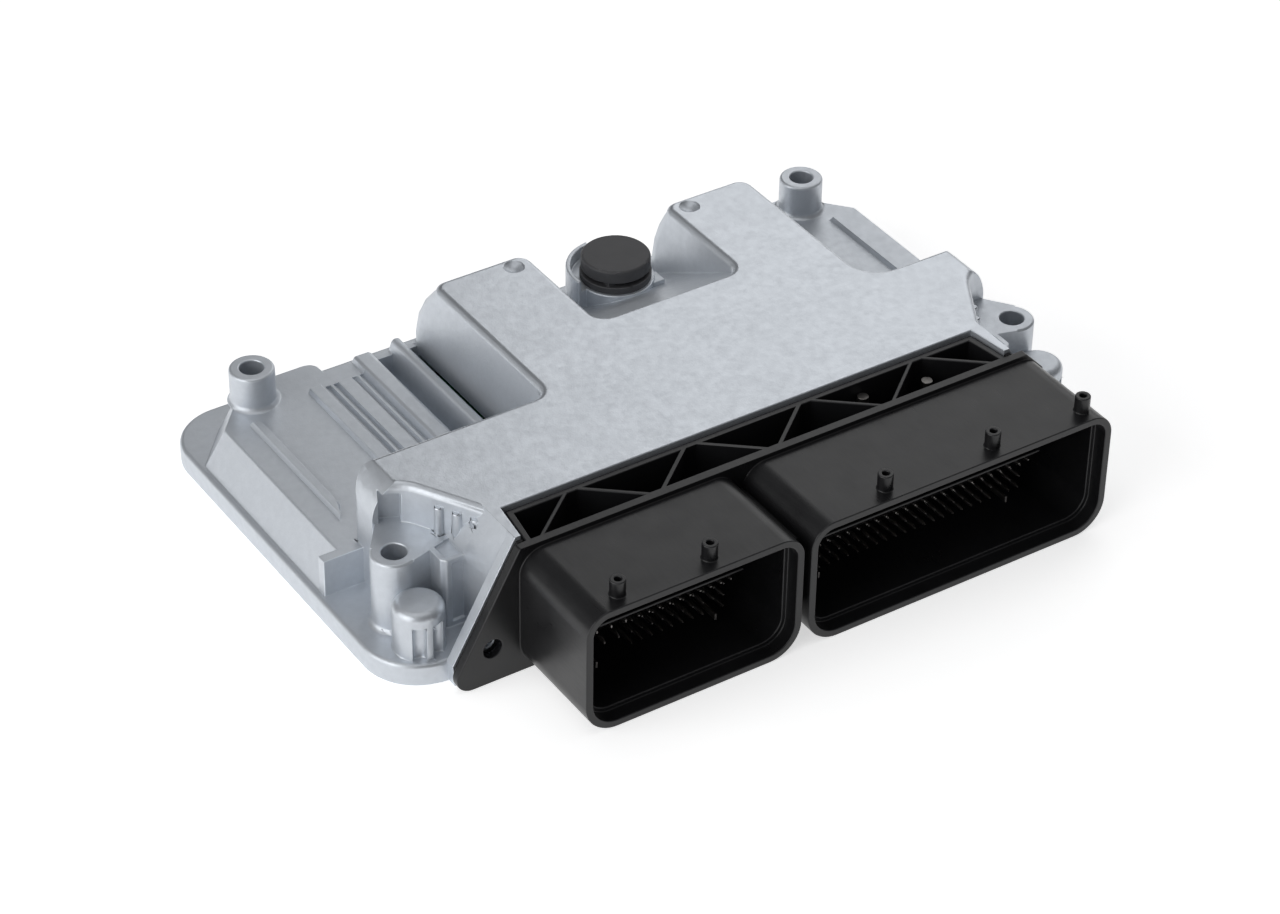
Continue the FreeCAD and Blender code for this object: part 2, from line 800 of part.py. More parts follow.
def cavities():
    """Everything hollow inside the housing."""
    lid_hollow = Part.Face(lid_wire(rim_height)).makeOffset2D(-wall)
    below_shoulder = shoulder_cutter()
    below_shoulder.translate(FreeCAD.Vector(-wall, 0, -wall))
    hollows = [raise_face(lid_hollow, lid_roof - rim_height).cut(both_sides(below_shoulder))]
    hollows.append(cavity_slab(0, 0, platform_roof))
    hollows.append(box(-throat_half, throat_half, front_y, lid_front + wall, sill_height, strip_underside))
    hollows.append(prism(strip_corners(strip_gap), "XY", strip_underside, lid_height))
    ramp_front = valley_front - wall
    ramp_back = lobe_back - wall
    ramp = [(ramp_front, rim_height), (ramp_back, rim_height), (ramp_back, platform_roof),
            (ramp_front, lid_roof)]
    hollows.append(prism(ramp, "YZ", left_lobe_right - wall, right_lobe_left + wall))
    hollows.append(prism(recess_corners(0), "XY", 0, cover_thickness))
    groove = cavity_slab(bead_gap + bead_width, cover_thickness, groove_top)
    hollows.append(groove.cut(cavity_slab(bead_gap, cover_thickness, groove_top)))
    return hollows


def upper_housing():
    pocket = [boss_web(), screw_pillar(), corner_block(), corner_shoulder()] + draft_ribs()
    solids = [flange(), front_frame(), platform(), lid_block(), valley_ramp(), vent_seat()]
    for shape in pocket + [side_rib()]:
        solids += both_sides(shape)
    fin_bed = box(fin_left, fin_right, band_back, platform_back, fin_roof, lid_height)
    body = cut(fuse(solids).cut([fin_bed, niche()]), cavities()).cut(fin_bed)
    additions = [fin_comb()] + both_sides(front_bracket())
    additions += [mounting_boss(x, y) for x, y in mounting_places]
    for set_back in side_pillar_set_backs:
        additions += both_sides(board_pillar(side_pillar_half, front_y + set_back, platform_roof))
    body = fuse([body] + additions)
    holes = [cylinder(x, y, 0, boss_height, boss_hole_radius) for x, y in mounting_places]
    screw_top = cover_thickness + cover_screw_grip
    holes += [cylinder(x, y, cover_thickness, screw_top, cover_screw_radius) for x, y in cover_screw_places()]
    holes.append(cylinder(vent_x, vent_y, platform_roof, seat_height, seat_bore))
    holes.append(cylinder(vent_x, vent_y, seat_height, lid_height, collar_inner_radius))
    holes.append(tube(vent_x, vent_y, seat_height - vent_seal_height, seat_height,
                      vent_seal_inner + vent_seal_width, vent_seal_inner))
    holes += [dimple(x) for x in (left_dimple_x, right_dimple_x)]
    return cut(body, holes)


# Connector header
def shell(left, right):
    """One connector mouth with a wider entry."""
    def section(inset):
        bottom = shell_corner - inset
        top = shell_top_corner - inset
        return [(left + inset, inset, bottom), (right - inset, inset, bottom),
                (right - inset, shell_height - inset, top), (left + inset, shell_height - inset, top)]
    body = prism(section(0), "XZ", mouth_y, plate_y)
    entry = prism(section(shell_wall), "XZ", mouth_y, mouth_y + ledge_depth)
    well = prism(section(shell_wall + ledge_step), "XZ", mouth_y + ledge_depth, plate_y)
    return body.cut([entry, well])


def sealing_plate():
    corners = [(-plate_foot_half, 0, ear_tip_radius), (right_foot_x, 0, ear_tip_radius),
               (right_shoulder_x, right_shoulder_z), (right_bevel_x, strip_height),
               (-plate_top_half, strip_height)]
    plate = prism(corners, "XZ", plate_y, seal_y)
    holes = [along_y(x, ear_hole_height, plate_y, seal_y, ear_hole_radius)
             for x in (left_ear_hole_x, right_ear_hole_x)]
    return plate.cut(holes)


def strip_pockets():
    """Pockets between the strip's zigzag ribs, narrow at a node and wide across from it."""
    back = strip_back - strip_wall
    limits = [(-strip_half + strip_wall, seal_y), (strip_half - strip_wall, seal_y),
              (strip_half - strip_wall - strip_taper, back), (-strip_half + strip_wall + strip_taper, back)]
    limit = prism(limits, "XY", pocket_floor, strip_height)
    narrow = node_spread - strip_wall / 2
    wide = strip_node_pitch - node_spread - strip_wall / 2
    pockets = []
    for i in range(strip_node_count):
        x = (i - (strip_node_count - 1) / 2) * strip_node_pitch
        near, far = (seal_y, back) if i % 2 == 0 else (back, seal_y)
        corners = [(x - narrow, near), (x + narrow, near), (x + wide, far), (x - wide, far)]
        pockets.append(prism(corners, "XY", pocket_floor, strip_height).common(limit))
    return pockets


def post(x):
    y = mouth_y + post_set_back
    top = shell_height + post_length
    return cylinder(x, y, shell_height, top, post_radius).cut(
        cylinder(x, y, top - post_bore_depth, top, post_bore))


def row_height(row):
    return top_row_height - row * row_pitch


def pin_block(first_x, last_x):
    """Thick part behind the sealing plate that holds one mouth's contacts."""
    return box(first_x - pin_block_margin, last_x + pin_block_margin, seal_y, seal_y + pin_block_depth,
               row_height(row_count - 1) - pin_block_margin, strip_underside)


def guard_shelf(first_x, last_x):
    """Thin shelf just over the top row of contacts."""
    foot = top_row_height + contact_size / 2 + guard_gap
    return box(first_x - guard_margin, last_x + guard_margin, tip_y + guard_set_back, plate_y,
               foot, foot + guard_thickness)


def connector_header():
    strip = prism(strip_corners(0), "XY", strip_underside, strip_height).cut(strip_pockets())
    gap_web = box(small_shell_right, large_shell_left, mouth_y + web_set_back, plate_y, web_foot, web_top)
    solids = [sealing_plate(), shell(small_shell_left, small_shell_right),
              shell(large_shell_left, large_shell_right), gap_web, strip]
    solids += [post(small_shell_left + x) for x in small_post_places]
    solids += [post(large_shell_left + x) for x in large_post_places]
    spans = [(small_shell_left + power_first_column, small_columns()[-1]),
             (large_columns()[0], large_columns()[-1])]
    for first_x, last_x in spans:
        solids += [pin_block(first_x, last_x), guard_shelf(first_x, last_x)]
    header = fuse(solids)
    return header.cut([pin_hole(*pin) for pin in small_signal_pins() + large_signal_pins() + power_pins()])


def header_gasket():
    top = strip_height
    inset = gasket_inset
    inner = large_strip_half
    left = [(-plate_edge(0) + ear_tip_radius + inset, inset), (-plate_edge(rim_height) + inset, rim_height),
            (-plate_edge(top) + inset, top), (-inner, top), (-inner, sill_height)]
    right = [(-x, z) for x, z in reversed(left)]
    gasket = prism(left + right, "XZ", seal_y, front_y)
    holes = [along_y(x, ear_hole_height, seal_y, front_y, ear_hole_radius)
             for x in (left_ear_hole_x, right_ear_hole_x)]
    return gasket.cut(holes)


def strip_seal():
    """Soft seal in the gap between the ribbed strip and the housing."""
    top = strip_height - strip_seal_drop
    foot = top - strip_seal_height
    ring = prism(strip_corners(strip_gap), "XY", foot, top).cut(prism(strip_corners(0), "XY", foot, top))
    return ring.cut(box(-half_width, half_width, plate_y, front_y, foot, top))


def locating_pins():
    return [cylinder(x, plate_y + set_back, pocket_floor, locating_pin_top, locating_pin_radius)
            for x, set_back in locating_pin_places]


# Contacts
def small_columns():
    return [small_shell_left + small_first_column + i * contact_pitch for i in range(small_column_count)]


def large_columns():
    return [large_shell_left + large_first_column + i * contact_pitch for i in range(large_column_count)]


def index_places():
    places = [small_shell_left + x for x in small_index_places]
    return places + [large_shell_left + x for x in large_index_places]


def signal_pins(columns):
    """Column, row and width of each signal contact, leaving room for the index blades."""
    pins = []
    for row in range(row_count):
        for x in columns:
            crowded = any(abs(x - blade) < contact_pitch / 2 for blade in index_places())
            if row < row_count - 1 or not crowded:
                pins.append((x, row, contact_size))
    return pins


def small_signal_pins():
    return signal_pins(small_columns())


def large_signal_pins():
    return signal_pins(large_columns())


def power_pins():
    first = small_shell_left + power_first_column
    return [(first + i * power_pitch, row, power_width)
            for row in power_rows for i in range(power_column_count)]


def pin_hole(x, row, width):
    z = row_height(row)
    half = contact_size / 2
    return box(x - width / 2, x + width / 2, plate_y, seal_y + pin_block_depth, z - half, z + half)


def bent_pin(x, row, width):
    """Contact that runs back from its tip and then down to the board."""
    z = row_height(row)
    half = contact_size / 2
    tip = tip_y if row == 0 else tip_y + lower_tip_step
    leg = front_y + first_leg_set_back + (row_count - 1 - row) * leg_pitch
    profile = [(tip, z - half), (leg - half, z - half), (leg - half, board_top), (leg + half, board_top),
               (leg + half, z + half), (tip, z + half)]
    return prism(profile, "YZ", x - width / 2, x + width / 2)


def index_blades():
    half = index_width / 2
    half_tall = index_tall / 2
    return [box(x - half, x + half, tip_y, plate_y, index_height - half_tall, index_height + half_tall)
            for x in index_places()]


# Vent
def vent_body():
    ring = cylinder(vent_x, vent_y, seat_height, vent_ring_top, vent_radius)
    neck = cylinder(vent_x, vent_y, seat_height - vent_neck_length, seat_height, vent_neck_radius)
    half = vent_foot_width / 2
    feet = []
    for i in range(vent_foot_count):
        x, y = polar((vent_x, vent_y), vent_foot_set_out, 45 + i * 360 / vent_foot_count)
        feet.append(box(x - half, x + half, y - half, y + half, vent_ring_top, cap_foot))
    passage = cylinder(vent_x, vent_y, seat_height - vent_neck_length, vent_ring_top, vent_passage)
    return cut(fuse([ring, neck] + feet), [passage])


def vent_cap():
    cap = cylinder(vent_x, vent_y, cap_foot, cap_foot + cap_thickness, cap_radius)
    return cap.makeChamfer(cap_chamfer, level_edges(cap, cap_foot + cap_thickness))


def vent_membrane():
    return cylinder(vent_x, vent_y, vent_ring_top, vent_ring_top + membrane_thickness, membrane_radius)


def vent_seal():
    return tube(vent_x, vent_y, seat_height - vent_seal_height, seat_height,
                vent_seal_inner + vent_seal_width, vent_seal_inner)


# Underside
def base_cover():
    plate = prism(recess_corners(cover_clearance), "XY", 0, cover_thickness)
    holes = [cylinder(x, y, 0, cover_thickness, boss_radius + cover_clearance) for x, y in mounting_places]
    for x, y in cover_screw_places():
        holes.append(cylinder(x, y, 0, screw_head_height, screw_head_radius))
        holes.append(cylinder(x, y, screw_head_height, cover_thickness, cover_screw_radius))
    return plate.cut(holes)


def cover_seal():
    outer = cavity_slab(bead_gap + bead_width - bead_clearance, cover_thickness, groove_top)
    return outer.cut(cavity_slab(bead_gap + bead_clearance, cover_thickness, groove_top))


def cover_screw(x, y):
    head = cylinder(x, y, 0, screw_head_height, screw_head_radius)
    shank = cylinder(x, y, screw_head_height, cover_thickness + cover_screw_grip, cover_screw_radius)
    return cut(fuse([head, shank]), [cylinder(x, y, 0, screw_drive_depth, screw_drive_radius)])


# Circuit board
def circuit_board():
    board = cavity_slab(-board_gap, board_height, board_top)
    holes = [cylinder(x, y, board_height, board_top, board_screw_radius) for x, y in board_screw_places()]
    return board.cut(holes)


def board_screw(x, y):
    foot = board_height - board_head_height
    head = cylinder(x, y, foot, board_height, board_head_radius)
    shank = cylinder(x, y, board_height, board_top + board_screw_grip, board_screw_radius)
    return cut(fuse([head, shank]), [cylinder(x, y, foot, foot + screw_drive_depth, screw_drive_radius)])


def driver_set_backs():
    return [driver_set_back + i * driver_pitch for i in range(driver_count)]


def output_drivers():
    return [on_board(driver_size, fin_middle, set_back) for set_back in driver_set_backs()]


def thermal_pads():
    half = driver_size[0] / 2 + pad_margin
    top = board_top + driver_size[2]
    return [box(fin_middle - half, fin_middle + half, front_y + set_back - half, front_y + set_back + half,
                top, fin_roof) for set_back in driver_set_backs()]


def current_shunts():
    x = fin_middle + driver_size[0] / 2 + shunt_gap + shunt_size[0] / 2
    return [on_board(shunt_size, x, set_back) for set_back in driver_set_backs()]


def power_transistors():
    x = cavity_half - transistor_set_in
    return [on_board(transistor_size, x + i * transistor_pitch, transistor_set_back + j * transistor_pitch)
            for i in range(transistor_columns) for j in range(transistor_rows)]


def storage_capacitors():
    left_x = (left_lobe_left + left_lobe_right) / 2
    right_x = (right_lobe_left + right_lobe_right) / 2
    places = [(left_x, set_back) for set_back in left_capacitor_set_backs]
    places.append((right_x, right_capacitor_set_back))
    top = board_top + capacitor_height
    return [cylinder(x, front_y + set_back, board_top, top, capacitor_radius) for x, set_back in places]


def boost_coil():
    x = (right_lobe_left + right_lobe_right) / 2
    top = board_top + coil_size[2]
    core = cylinder(x, front_y + coil_set_back, top, top + coil_core_height, coil_core_radius)
    return fuse([on_board(coil_size, x, coil_set_back), core])


def pressure_sensor():
    set_back = vent_y - front_y
    top = board_top + sensor_size[2]
    port = tube(vent_x, vent_y, top, top + sensor_port_height, 2 * sensor_port_radius, sensor_port_radius)
    return fuse([on_board(sensor_size, vent_x, set_back), port])


def chip_row(size, first, count):
    x, set_back = first
    return [on_board(size, x + i * chip_pitch, set_back) for i in range(count)]


def bus_transceivers():
    return chip_row(transceiver_size, (transceiver_set_in - cavity_half, transceiver_set_back), 2)


def input_choke():
    x, set_back = choke_place
    return tube(x, front_y + set_back, board_top, board_top + choke_height, choke_radius, choke_bore)


def bent_pins(pins):
    return [bent_pin(*pin) for pin in pins]


def pieces():
    """Every piece by name; a list is a group of separate, identical pieces."""
    return {
        "upper_housing": upper_housing(),
        "connector_header": connector_header(),
        "header_gasket": header_gasket(),
        "strip_seal": strip_seal(),
        "locating_pins": locating_pins(),
        "signal_pins_small": bent_pins(small_signal_pins()),
        "signal_pins_large": bent_pins(large_signal_pins()),
        "power_pins": bent_pins(power_pins()),
        "index_blades": index_blades(),
        "vent_body": vent_body(),
        "vent_cap": vent_cap(),
        "vent_membrane": vent_membrane(),
        "vent_seal": vent_seal(),
        "base_cover": base_cover(),
        "cover_seal": cover_seal(),
        "cover_screws": [cover_screw(x, y) for x, y in cover_screw_places()],
        "circuit_board": circuit_board(),
        "board_screws": [board_screw(x, y) for x, y in board_screw_places()],
        "main_processor": on_board(processor_size, *processor_place),
        "flash_memory": on_board(memory_size, *memory_place),
        "power_supply_chip": on_board(supply_size, *supply_place),
        "output_drivers": output_drivers(),
        "thermal_pads": thermal_pads(),
        "power_transistors": power_transistors(),
        "storage_capacitors": storage_capacitors(),
        "boost_coil": boost_coil(),
        "bus_transceivers": bus_transceivers(),
        "knock_interface": on_board(knock_size, knock_set_in - cavity_half, knock_set_back),
        "crystal": on_board(crystal_size, *crystal_place),
        "pressure_sensor": pressure_sensor(),
        "chip_capacitors": chip_row(chip_capacitor_size, chip_capacitor_place, chip_count),
        "chip_resistors": chip_row(chip_resistor_size, chip_resistor_place, chip_count),
        "current_shunts": current_shunts(),
        "input_choke": input_choke(),
    }


def main():
    os.makedirs("parts", exist_ok=True)
    for name, shape in pieces().items():
        solid = Part.makeCompound(shape) if isinstance(shape, list) else shape
        solid.exportStep("parts/" + name + ".step")


main()
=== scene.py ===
import math

import bmesh
import bpy
import numpy as np
from bpy.props import FloatProperty, FloatVectorProperty, IntProperty, PointerProperty
from mathutils import Matrix, Vector
from mathutils.geometry import delaunay_2d_cdt


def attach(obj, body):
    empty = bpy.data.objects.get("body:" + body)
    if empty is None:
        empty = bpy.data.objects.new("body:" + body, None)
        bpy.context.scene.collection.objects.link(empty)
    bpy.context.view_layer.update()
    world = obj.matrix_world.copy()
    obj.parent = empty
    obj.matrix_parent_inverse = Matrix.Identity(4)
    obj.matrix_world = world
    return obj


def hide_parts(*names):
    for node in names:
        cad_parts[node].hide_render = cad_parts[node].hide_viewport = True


bl_info = {
    "name": "Engine control unit looks",
    "version": (1, 0, 0),
    "blender": (4, 5, 0),
    "location": "3D View > Sidebar > Control unit",
    "description": "Cast, moulded and plated finishes round the control unit's frame",
    "category": "Object",
}

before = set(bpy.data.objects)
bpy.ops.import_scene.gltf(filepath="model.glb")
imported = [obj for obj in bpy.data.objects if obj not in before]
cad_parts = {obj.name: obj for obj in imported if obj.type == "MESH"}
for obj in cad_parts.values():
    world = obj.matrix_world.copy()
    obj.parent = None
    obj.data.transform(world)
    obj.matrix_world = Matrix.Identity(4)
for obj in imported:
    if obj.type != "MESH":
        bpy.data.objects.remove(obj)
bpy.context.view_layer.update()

MM = 0.001
BODY = "root"
MERGE_DISTANCE = 0.002 * MM
FLAT_ANGLE = math.radians(0.5)
SHARP_ANGLE = math.radians(28)
STRAIGHT_ANGLE = math.radians(35)
EDGE_SHARE = 0.42
EDGE_FLATNESS = 0.97
EASE_PASSES = 3
EASE_RATIO = 1.6
EASE_FLOOR = 0.05
FAR = 1.0
FILL_TOLERANCE = 1e-5
SHANK_FACETS = 24
HEAD_FACETS = 40
FLOOR_REACH = 12.0
PIN_RADIUS = 0.15 * MM
COVER_RADIUS = 0.2 * MM
MILLED_BLEND = 0.2 * MM
MILLED_METALLIC = 0.9
LOBE_WAIST = 0.72
RECESS_SOFTENING = 0.3 * MM
SEAL_DISTANCE = 0.001 * MM


# Settings
class CastingSettings(bpy.types.PropertyGroup):
    edge_radius: FloatProperty(name="Edge radius", description="Rounding of the casting's edges",
                               default=0.45 * MM, subtype="DISTANCE", unit="LENGTH", precision=5)
    colour: FloatVectorProperty(name="Colour", description="Bare cast aluminium", subtype="COLOR",
                                size=3, min=0, max=1, default=(0.64, 0.675, 0.72))
    roughness: FloatProperty(name="Roughness", description="Middle roughness of the cast skin",
                             default=0.42, min=0, max=1)
    metallic: FloatProperty(name="Metallic", description="How metallic the cast skin is",
                            default=0.7, min=0, max=1)
    machined_height: FloatProperty(name="Machined height", description="Height from which the top is milled",
                                   default=38.2 * MM, subtype="DISTANCE", unit="LENGTH", precision=5)
    machined_roughness: FloatProperty(name="Machined roughness", description="Roughness of the milled top",
                                      default=0.33, min=0, max=1)
    grain: FloatProperty(name="Grain", description="Size of one grain of the cast skin",
                         default=0.45 * MM, subtype="DISTANCE", unit="LENGTH", precision=5)
    grain_height: FloatProperty(name="Grain height", description="Height of the cast skin's grain",
                                default=0.02 * MM, subtype="DISTANCE", unit="LENGTH", precision=6)


class MouldingSettings(bpy.types.PropertyGroup):
    edge_radius: FloatProperty(name="Edge radius", description="Rounding of the moulding's edges",
                               default=0.3 * MM, subtype="DISTANCE", unit="LENGTH", precision=5)
    colour: FloatVectorProperty(name="Colour", description="Glass-filled black plastic", subtype="COLOR",
                                size=3, min=0, max=1, default=(0.01, 0.01, 0.011))
    roughness: FloatProperty(name="Roughness", description="Middle roughness of the moulding",
                             default=0.33, min=0, max=1)
    gloss: FloatProperty(name="Gloss", description="Strength of the moulding's reflection",
                         default=0.45, min=0, max=1)


class ContactSettings(bpy.types.PropertyGroup):
    # The tin is set much darker than bright tin: painted shade for the contacts deep in the connector mouths.
    colour: FloatVectorProperty(name="Colour", description="Tin plating darkened for painted shade", subtype="COLOR",
                                size=3, min=0, max=1, default=(0.26, 0.25, 0.24))
    thickness: FloatProperty(name="Thickness", description="Height of a contact's section",
                             default=0.8 * MM, subtype="DISTANCE", unit="LENGTH", precision=5)
    taper: FloatProperty(name="Taper", description="Length of a contact's tapered tip",
                         default=1.2 * MM, subtype="DISTANCE", unit="LENGTH", precision=5)
    tip_share: FloatProperty(name="Tip share", description="Width of the tip's end against the contact's",
                             default=0.4, min=0.1, max=1)
    bend: FloatProperty(name="Bend", description="Middle radius of a contact's bend",
                        default=1.0 * MM, subtype="DISTANCE", unit="LENGTH", precision=5)


class VentSettings(bpy.types.PropertyGroup):
    edge_radius: FloatProperty(name="Edge radius", description="Rounding of the cap's and ring's edges",
                               default=0.25 * MM, subtype="DISTANCE", unit="LENGTH", precision=5)
    colour: FloatVectorProperty(name="Colour", description="Matt dark grey plastic", subtype="COLOR",
                                size=3, min=0, max=1, default=(0.06, 0.06, 0.064))


class UndersideSettings(bpy.types.PropertyGroup):
    sheet_colour: FloatVectorProperty(name="Sheet colour", description="Pressed cover's metal",
                                      subtype="COLOR", size=3, min=0, max=1, default=(0.6, 0.61, 0.63))
    lobes: IntProperty(name="Lobes", description="Points of the screws' recess", default=6, min=3, max=12)
    recess_radius: FloatProperty(name="Recess radius", description="Outer radius of the screws' recess",
                                 default=1.35 * MM, subtype="DISTANCE", unit="LENGTH", precision=5)


class StageSettings(bpy.types.PropertyGroup):
    floor_colour: FloatVectorProperty(name="Floor colour", description="Pale studio floor", subtype="COLOR",
                                      size=3, min=0, max=1, default=(0.9, 0.9, 0.9))
    sky: FloatProperty(name="Surround", description="Brightness of the studio round the object",
                       default=0.16, min=0)
    back_light: FloatProperty(name="Back light", description="Power of the large light behind on the right",
                              default=2.7, min=0, subtype="POWER", unit="POWER")
    left_light: FloatProperty(name="Left light", description="Power of the low main light on the left",
                              default=8.5, min=0, subtype="POWER", unit="POWER")
    top_light: FloatProperty(name="Top light", description="Power of the light over the unit",
                             default=2.4, min=0, subtype="POWER", unit="POWER")
    backdrop: FloatProperty(name="Backdrop", description="Light that the floor adds to itself toward white",
                            default=0.6, min=0, max=1)
    azimuth: FloatProperty(name="Azimuth", description="Camera's direction round the unit",
                           default=math.radians(-33.62), subtype="ANGLE", unit="ROTATION")
    elevation: FloatProperty(name="Elevation", description="Camera's height over the horizon",
                             default=math.radians(36.641), subtype="ANGLE", unit="ROTATION")
    roll: FloatProperty(name="Roll", description="Camera's turn about its own axis",
                        default=math.radians(-0.948), subtype="ANGLE", unit="ROTATION")
    place: FloatVectorProperty(name="Place", description="Camera's place", subtype="TRANSLATION",
                               unit="LENGTH", size=3, default=(-0.43704, -0.64526, 0.58361))
    lens: FloatProperty(name="Lens", description="Focal length on a 36 mm sensor", default=105.285)


# Node helpers
def add_node(tree, kind, values=None, **settings):
    """Adds a node, sets its options, and fills or links the sockets named in values."""
    node = tree.nodes.new(kind)
    for name, value in settings.items():
        setattr(node, name, value)
    for socket, value in (values or {}).items():
        if isinstance(value, bpy.types.NodeSocket):
            tree.links.new(value, node.inputs[socket])
        else:
            node.inputs[socket].default_value = value
    return node


def feed(tree, surface, name, value):
    tree.links.new(value, surface.inputs[name])


def new_finish(name):
    """A material with one shader, its node tree and the Object coordinates."""
    material = bpy.data.materials.new(name)
    material.use_nodes = True
    tree = material.node_tree
    tree.nodes.clear()
    surface = add_node(tree, "ShaderNodeBsdfPrincipled")
    add_node(tree, "ShaderNodeOutputMaterial", {"Surface": surface.outputs["BSDF"]})
    place = add_node(tree, "ShaderNodeTexCoord").outputs["Object"]
    return material, tree, surface, place


def noise(tree, place, size, detail=2.0, rough=0.5, stretch=(1, 1, 1)):
    """Noise whose features are about size metres across, drawn out by stretch."""
    if stretch != (1, 1, 1):
        drawn = {"Vector": place, "Scale": [1 / s for s in stretch]}
        place = add_node(tree, "ShaderNodeMapping", drawn).outputs[0]
    values = {"Vector": place, "Scale": 1 / size, "Detail": detail, "Roughness": rough}
    return add_node(tree, "ShaderNodeTexNoise", values).outputs["Fac"]


def spread(tree, value, low, high, to_low, to_high):
    values = {"Value": value, "From Min": low, "From Max": high, "To Min": to_low, "To Max": to_high}
    return add_node(tree, "ShaderNodeMapRange", values).outputs["Result"]


def mixed(tree, factor, first, second):
    """Colour between first and second; each is a colour or a socket."""
    node = add_node(tree, "ShaderNodeMix", data_type="RGBA")
    for index, value in ((0, factor), (6, first), (7, second)):
        if isinstance(value, bpy.types.NodeSocket):
            tree.links.new(value, node.inputs[index])
        else:
            node.inputs[index].default_value = value if index == 0 else (*value, 1)
    return node.outputs[2]


def reckon(tree, operation, first, second):
    node = add_node(tree, "ShaderNodeMath", {0: first, 1: second}, operation=operation)
    return node.outputs[0]


def raised(tree, height, distance, below=None):
    """Bump whose full height is distance metres, on top of another bump."""
    values = {"Height": height, "Distance": distance, "Strength": 1.0}
    if below is not None:
        values["Normal"] = below
    return add_node(tree, "ShaderNodeBump", values).outputs["Normal"]


def tint(colour, share):
    return tuple(min(1.0, c * share) for c in colour)


def edge_highlight_and_wear_mask(tree, share):
    """Up to share on the rounded convex edges and 0 elsewhere; it lightens those edges as a painted highlight,
    partly edge wear.
    """
    edge = add_node(tree, "ShaderNodeAttribute", attribute_name="edge").outputs["Fac"]
    return spread(tree, edge, 0, 1, 0, share)


# Finishes
def cast_finish(settings):
    """Bare die-cast aluminium: grain, faint flow marks, a painted highlight with some wear on the convex edges,
    and finer top.
    """
    material, tree, surface, place = new_finish("Cast aluminium")
    colour = tuple(settings.colour)
    blotch = noise(tree, place, 14 * MM, 3)
    flow = noise(tree, place, 2.2 * MM, 3, 0.6)
    grain = noise(tree, place, settings.grain, 2, 0.6)
    base = mixed(tree, blotch, tint(colour, 0.97), tint(colour, 1.04))
    base = mixed(tree, spread(tree, flow, 0.3, 0.7, 0, 0.35), base, tint(colour, 0.86))
    # Lighter on the convex edges: a painted edge highlight, partly edge wear.
    base = mixed(tree, edge_highlight_and_wear_mask(tree, 0.8), base, tint(colour, 1.25))
    feed(tree, surface, "Base Color", base)
    patches = spread(tree, blotch, 0.3, 0.7, -0.02, 0.02)
    skin = reckon(tree, "ADD", patches, spread(tree, flow, 0.3, 0.7, -0.03, 0.06))
    height = add_node(tree, "ShaderNodeSeparateXYZ", {"Vector": place}).outputs["Z"]
    milled = spread(tree, height, settings.machined_height - MILLED_BLEND, settings.machined_height, 0, 1)
    middle = spread(tree, milled, 0, 1, settings.roughness, settings.machined_roughness)
    rough = reckon(tree, "ADD", skin, middle)
    feed(tree, surface, "Roughness", rough)
    feed(tree, surface, "Metallic", spread(tree, milled, 0, 1, settings.metallic, MILLED_METALLIC))
    bumps = raised(tree, flow, 0.05 * MM)
    bumps = raised(tree, grain, settings.grain_height, bumps)
    feed(tree, surface, "Normal", bumps)
    return material


def moulded_finish(settings):
    """Glass-filled black plastic: fine spark texture, flow streaks and a painted highlight on the edges, partly
    rubbed wear.
    """
    material, tree, surface, place = new_finish("Moulded black plastic")
    colour = tuple(settings.colour)
    cloud = noise(tree, place, 9 * MM, 3)
    streak = noise(tree, place, 0.5 * MM, 2, 0.5, (1, 12, 1))
    spark = noise(tree, place, 0.22 * MM, 1)
    base = mixed(tree, cloud, tint(colour, 0.85), tint(colour, 1.2))
    # Much lighter on the convex edges: a painted edge highlight, partly rubbed wear.
    base = mixed(tree, edge_highlight_and_wear_mask(tree, 1.0), base, tint(colour, 2.2))
    feed(tree, surface, "Base Color", base)
    patches = spread(tree, cloud, 0.3, 0.7, -0.04, 0.04)
    uneven = reckon(tree, "ADD", patches, spread(tree, streak, 0.3, 0.7, -0.03, 0.03))
    feed(tree, surface, "Roughness", reckon(tree, "ADD", uneven, settings.roughness))
    bumps = raised(tree, streak, 0.006 * MM)
    bumps = raised(tree, spark, 0.006 * MM, bumps)
    feed(tree, surface, "Normal", bumps)
    surface.inputs["Specular IOR Level"].default_value = settings.gloss
    return material


def vent_finish(settings):
    """Matt grey-black plastic of the vent with a fine eroded skin."""
    material, tree, surface, place = new_finish("Matt vent plastic")
    colour = tuple(settings.colour)
    cloud = noise(tree, place, 5 * MM, 3)
    pits = noise(tree, place, 0.18 * MM, 2)
    base = mixed(tree, cloud, tint(colour, 0.85), tint(colour, 1.15))
    # Lighter on the convex edges: a painted edge highlight, partly wear.
    feed(tree, surface, "Base Color", mixed(tree, edge_highlight_and_wear_mask(tree, 1.0), base, tint(colour, 1.8)))
    feed(tree, surface, "Roughness", spread(tree, pits, 0.3, 0.7, 0.48, 0.62))
    feed(tree, surface, "Normal", raised(tree, pits, 0.008 * MM))
    return material


def rubber_finish():
    """Black seal rubber with a dusty bloom."""
    material, tree, surface, place = new_finish("Seal rubber")
    bloom = noise(tree, place, 3 * MM, 4, 0.65)
    pores = noise(tree, place, 0.12 * MM, 2)
    feed(tree, surface, "Base Color", mixed(tree, bloom, (0.008, 0.008, 0.009), (0.02, 0.02, 0.021)))
    feed(tree, surface, "Roughness", spread(tree, pores, 0.3, 0.7, 0.68, 0.86))
    feed(tree, surface, "Normal", raised(tree, pores, 0.01 * MM))
    surface.inputs["Specular IOR Level"].default_value = 0.3
    return material


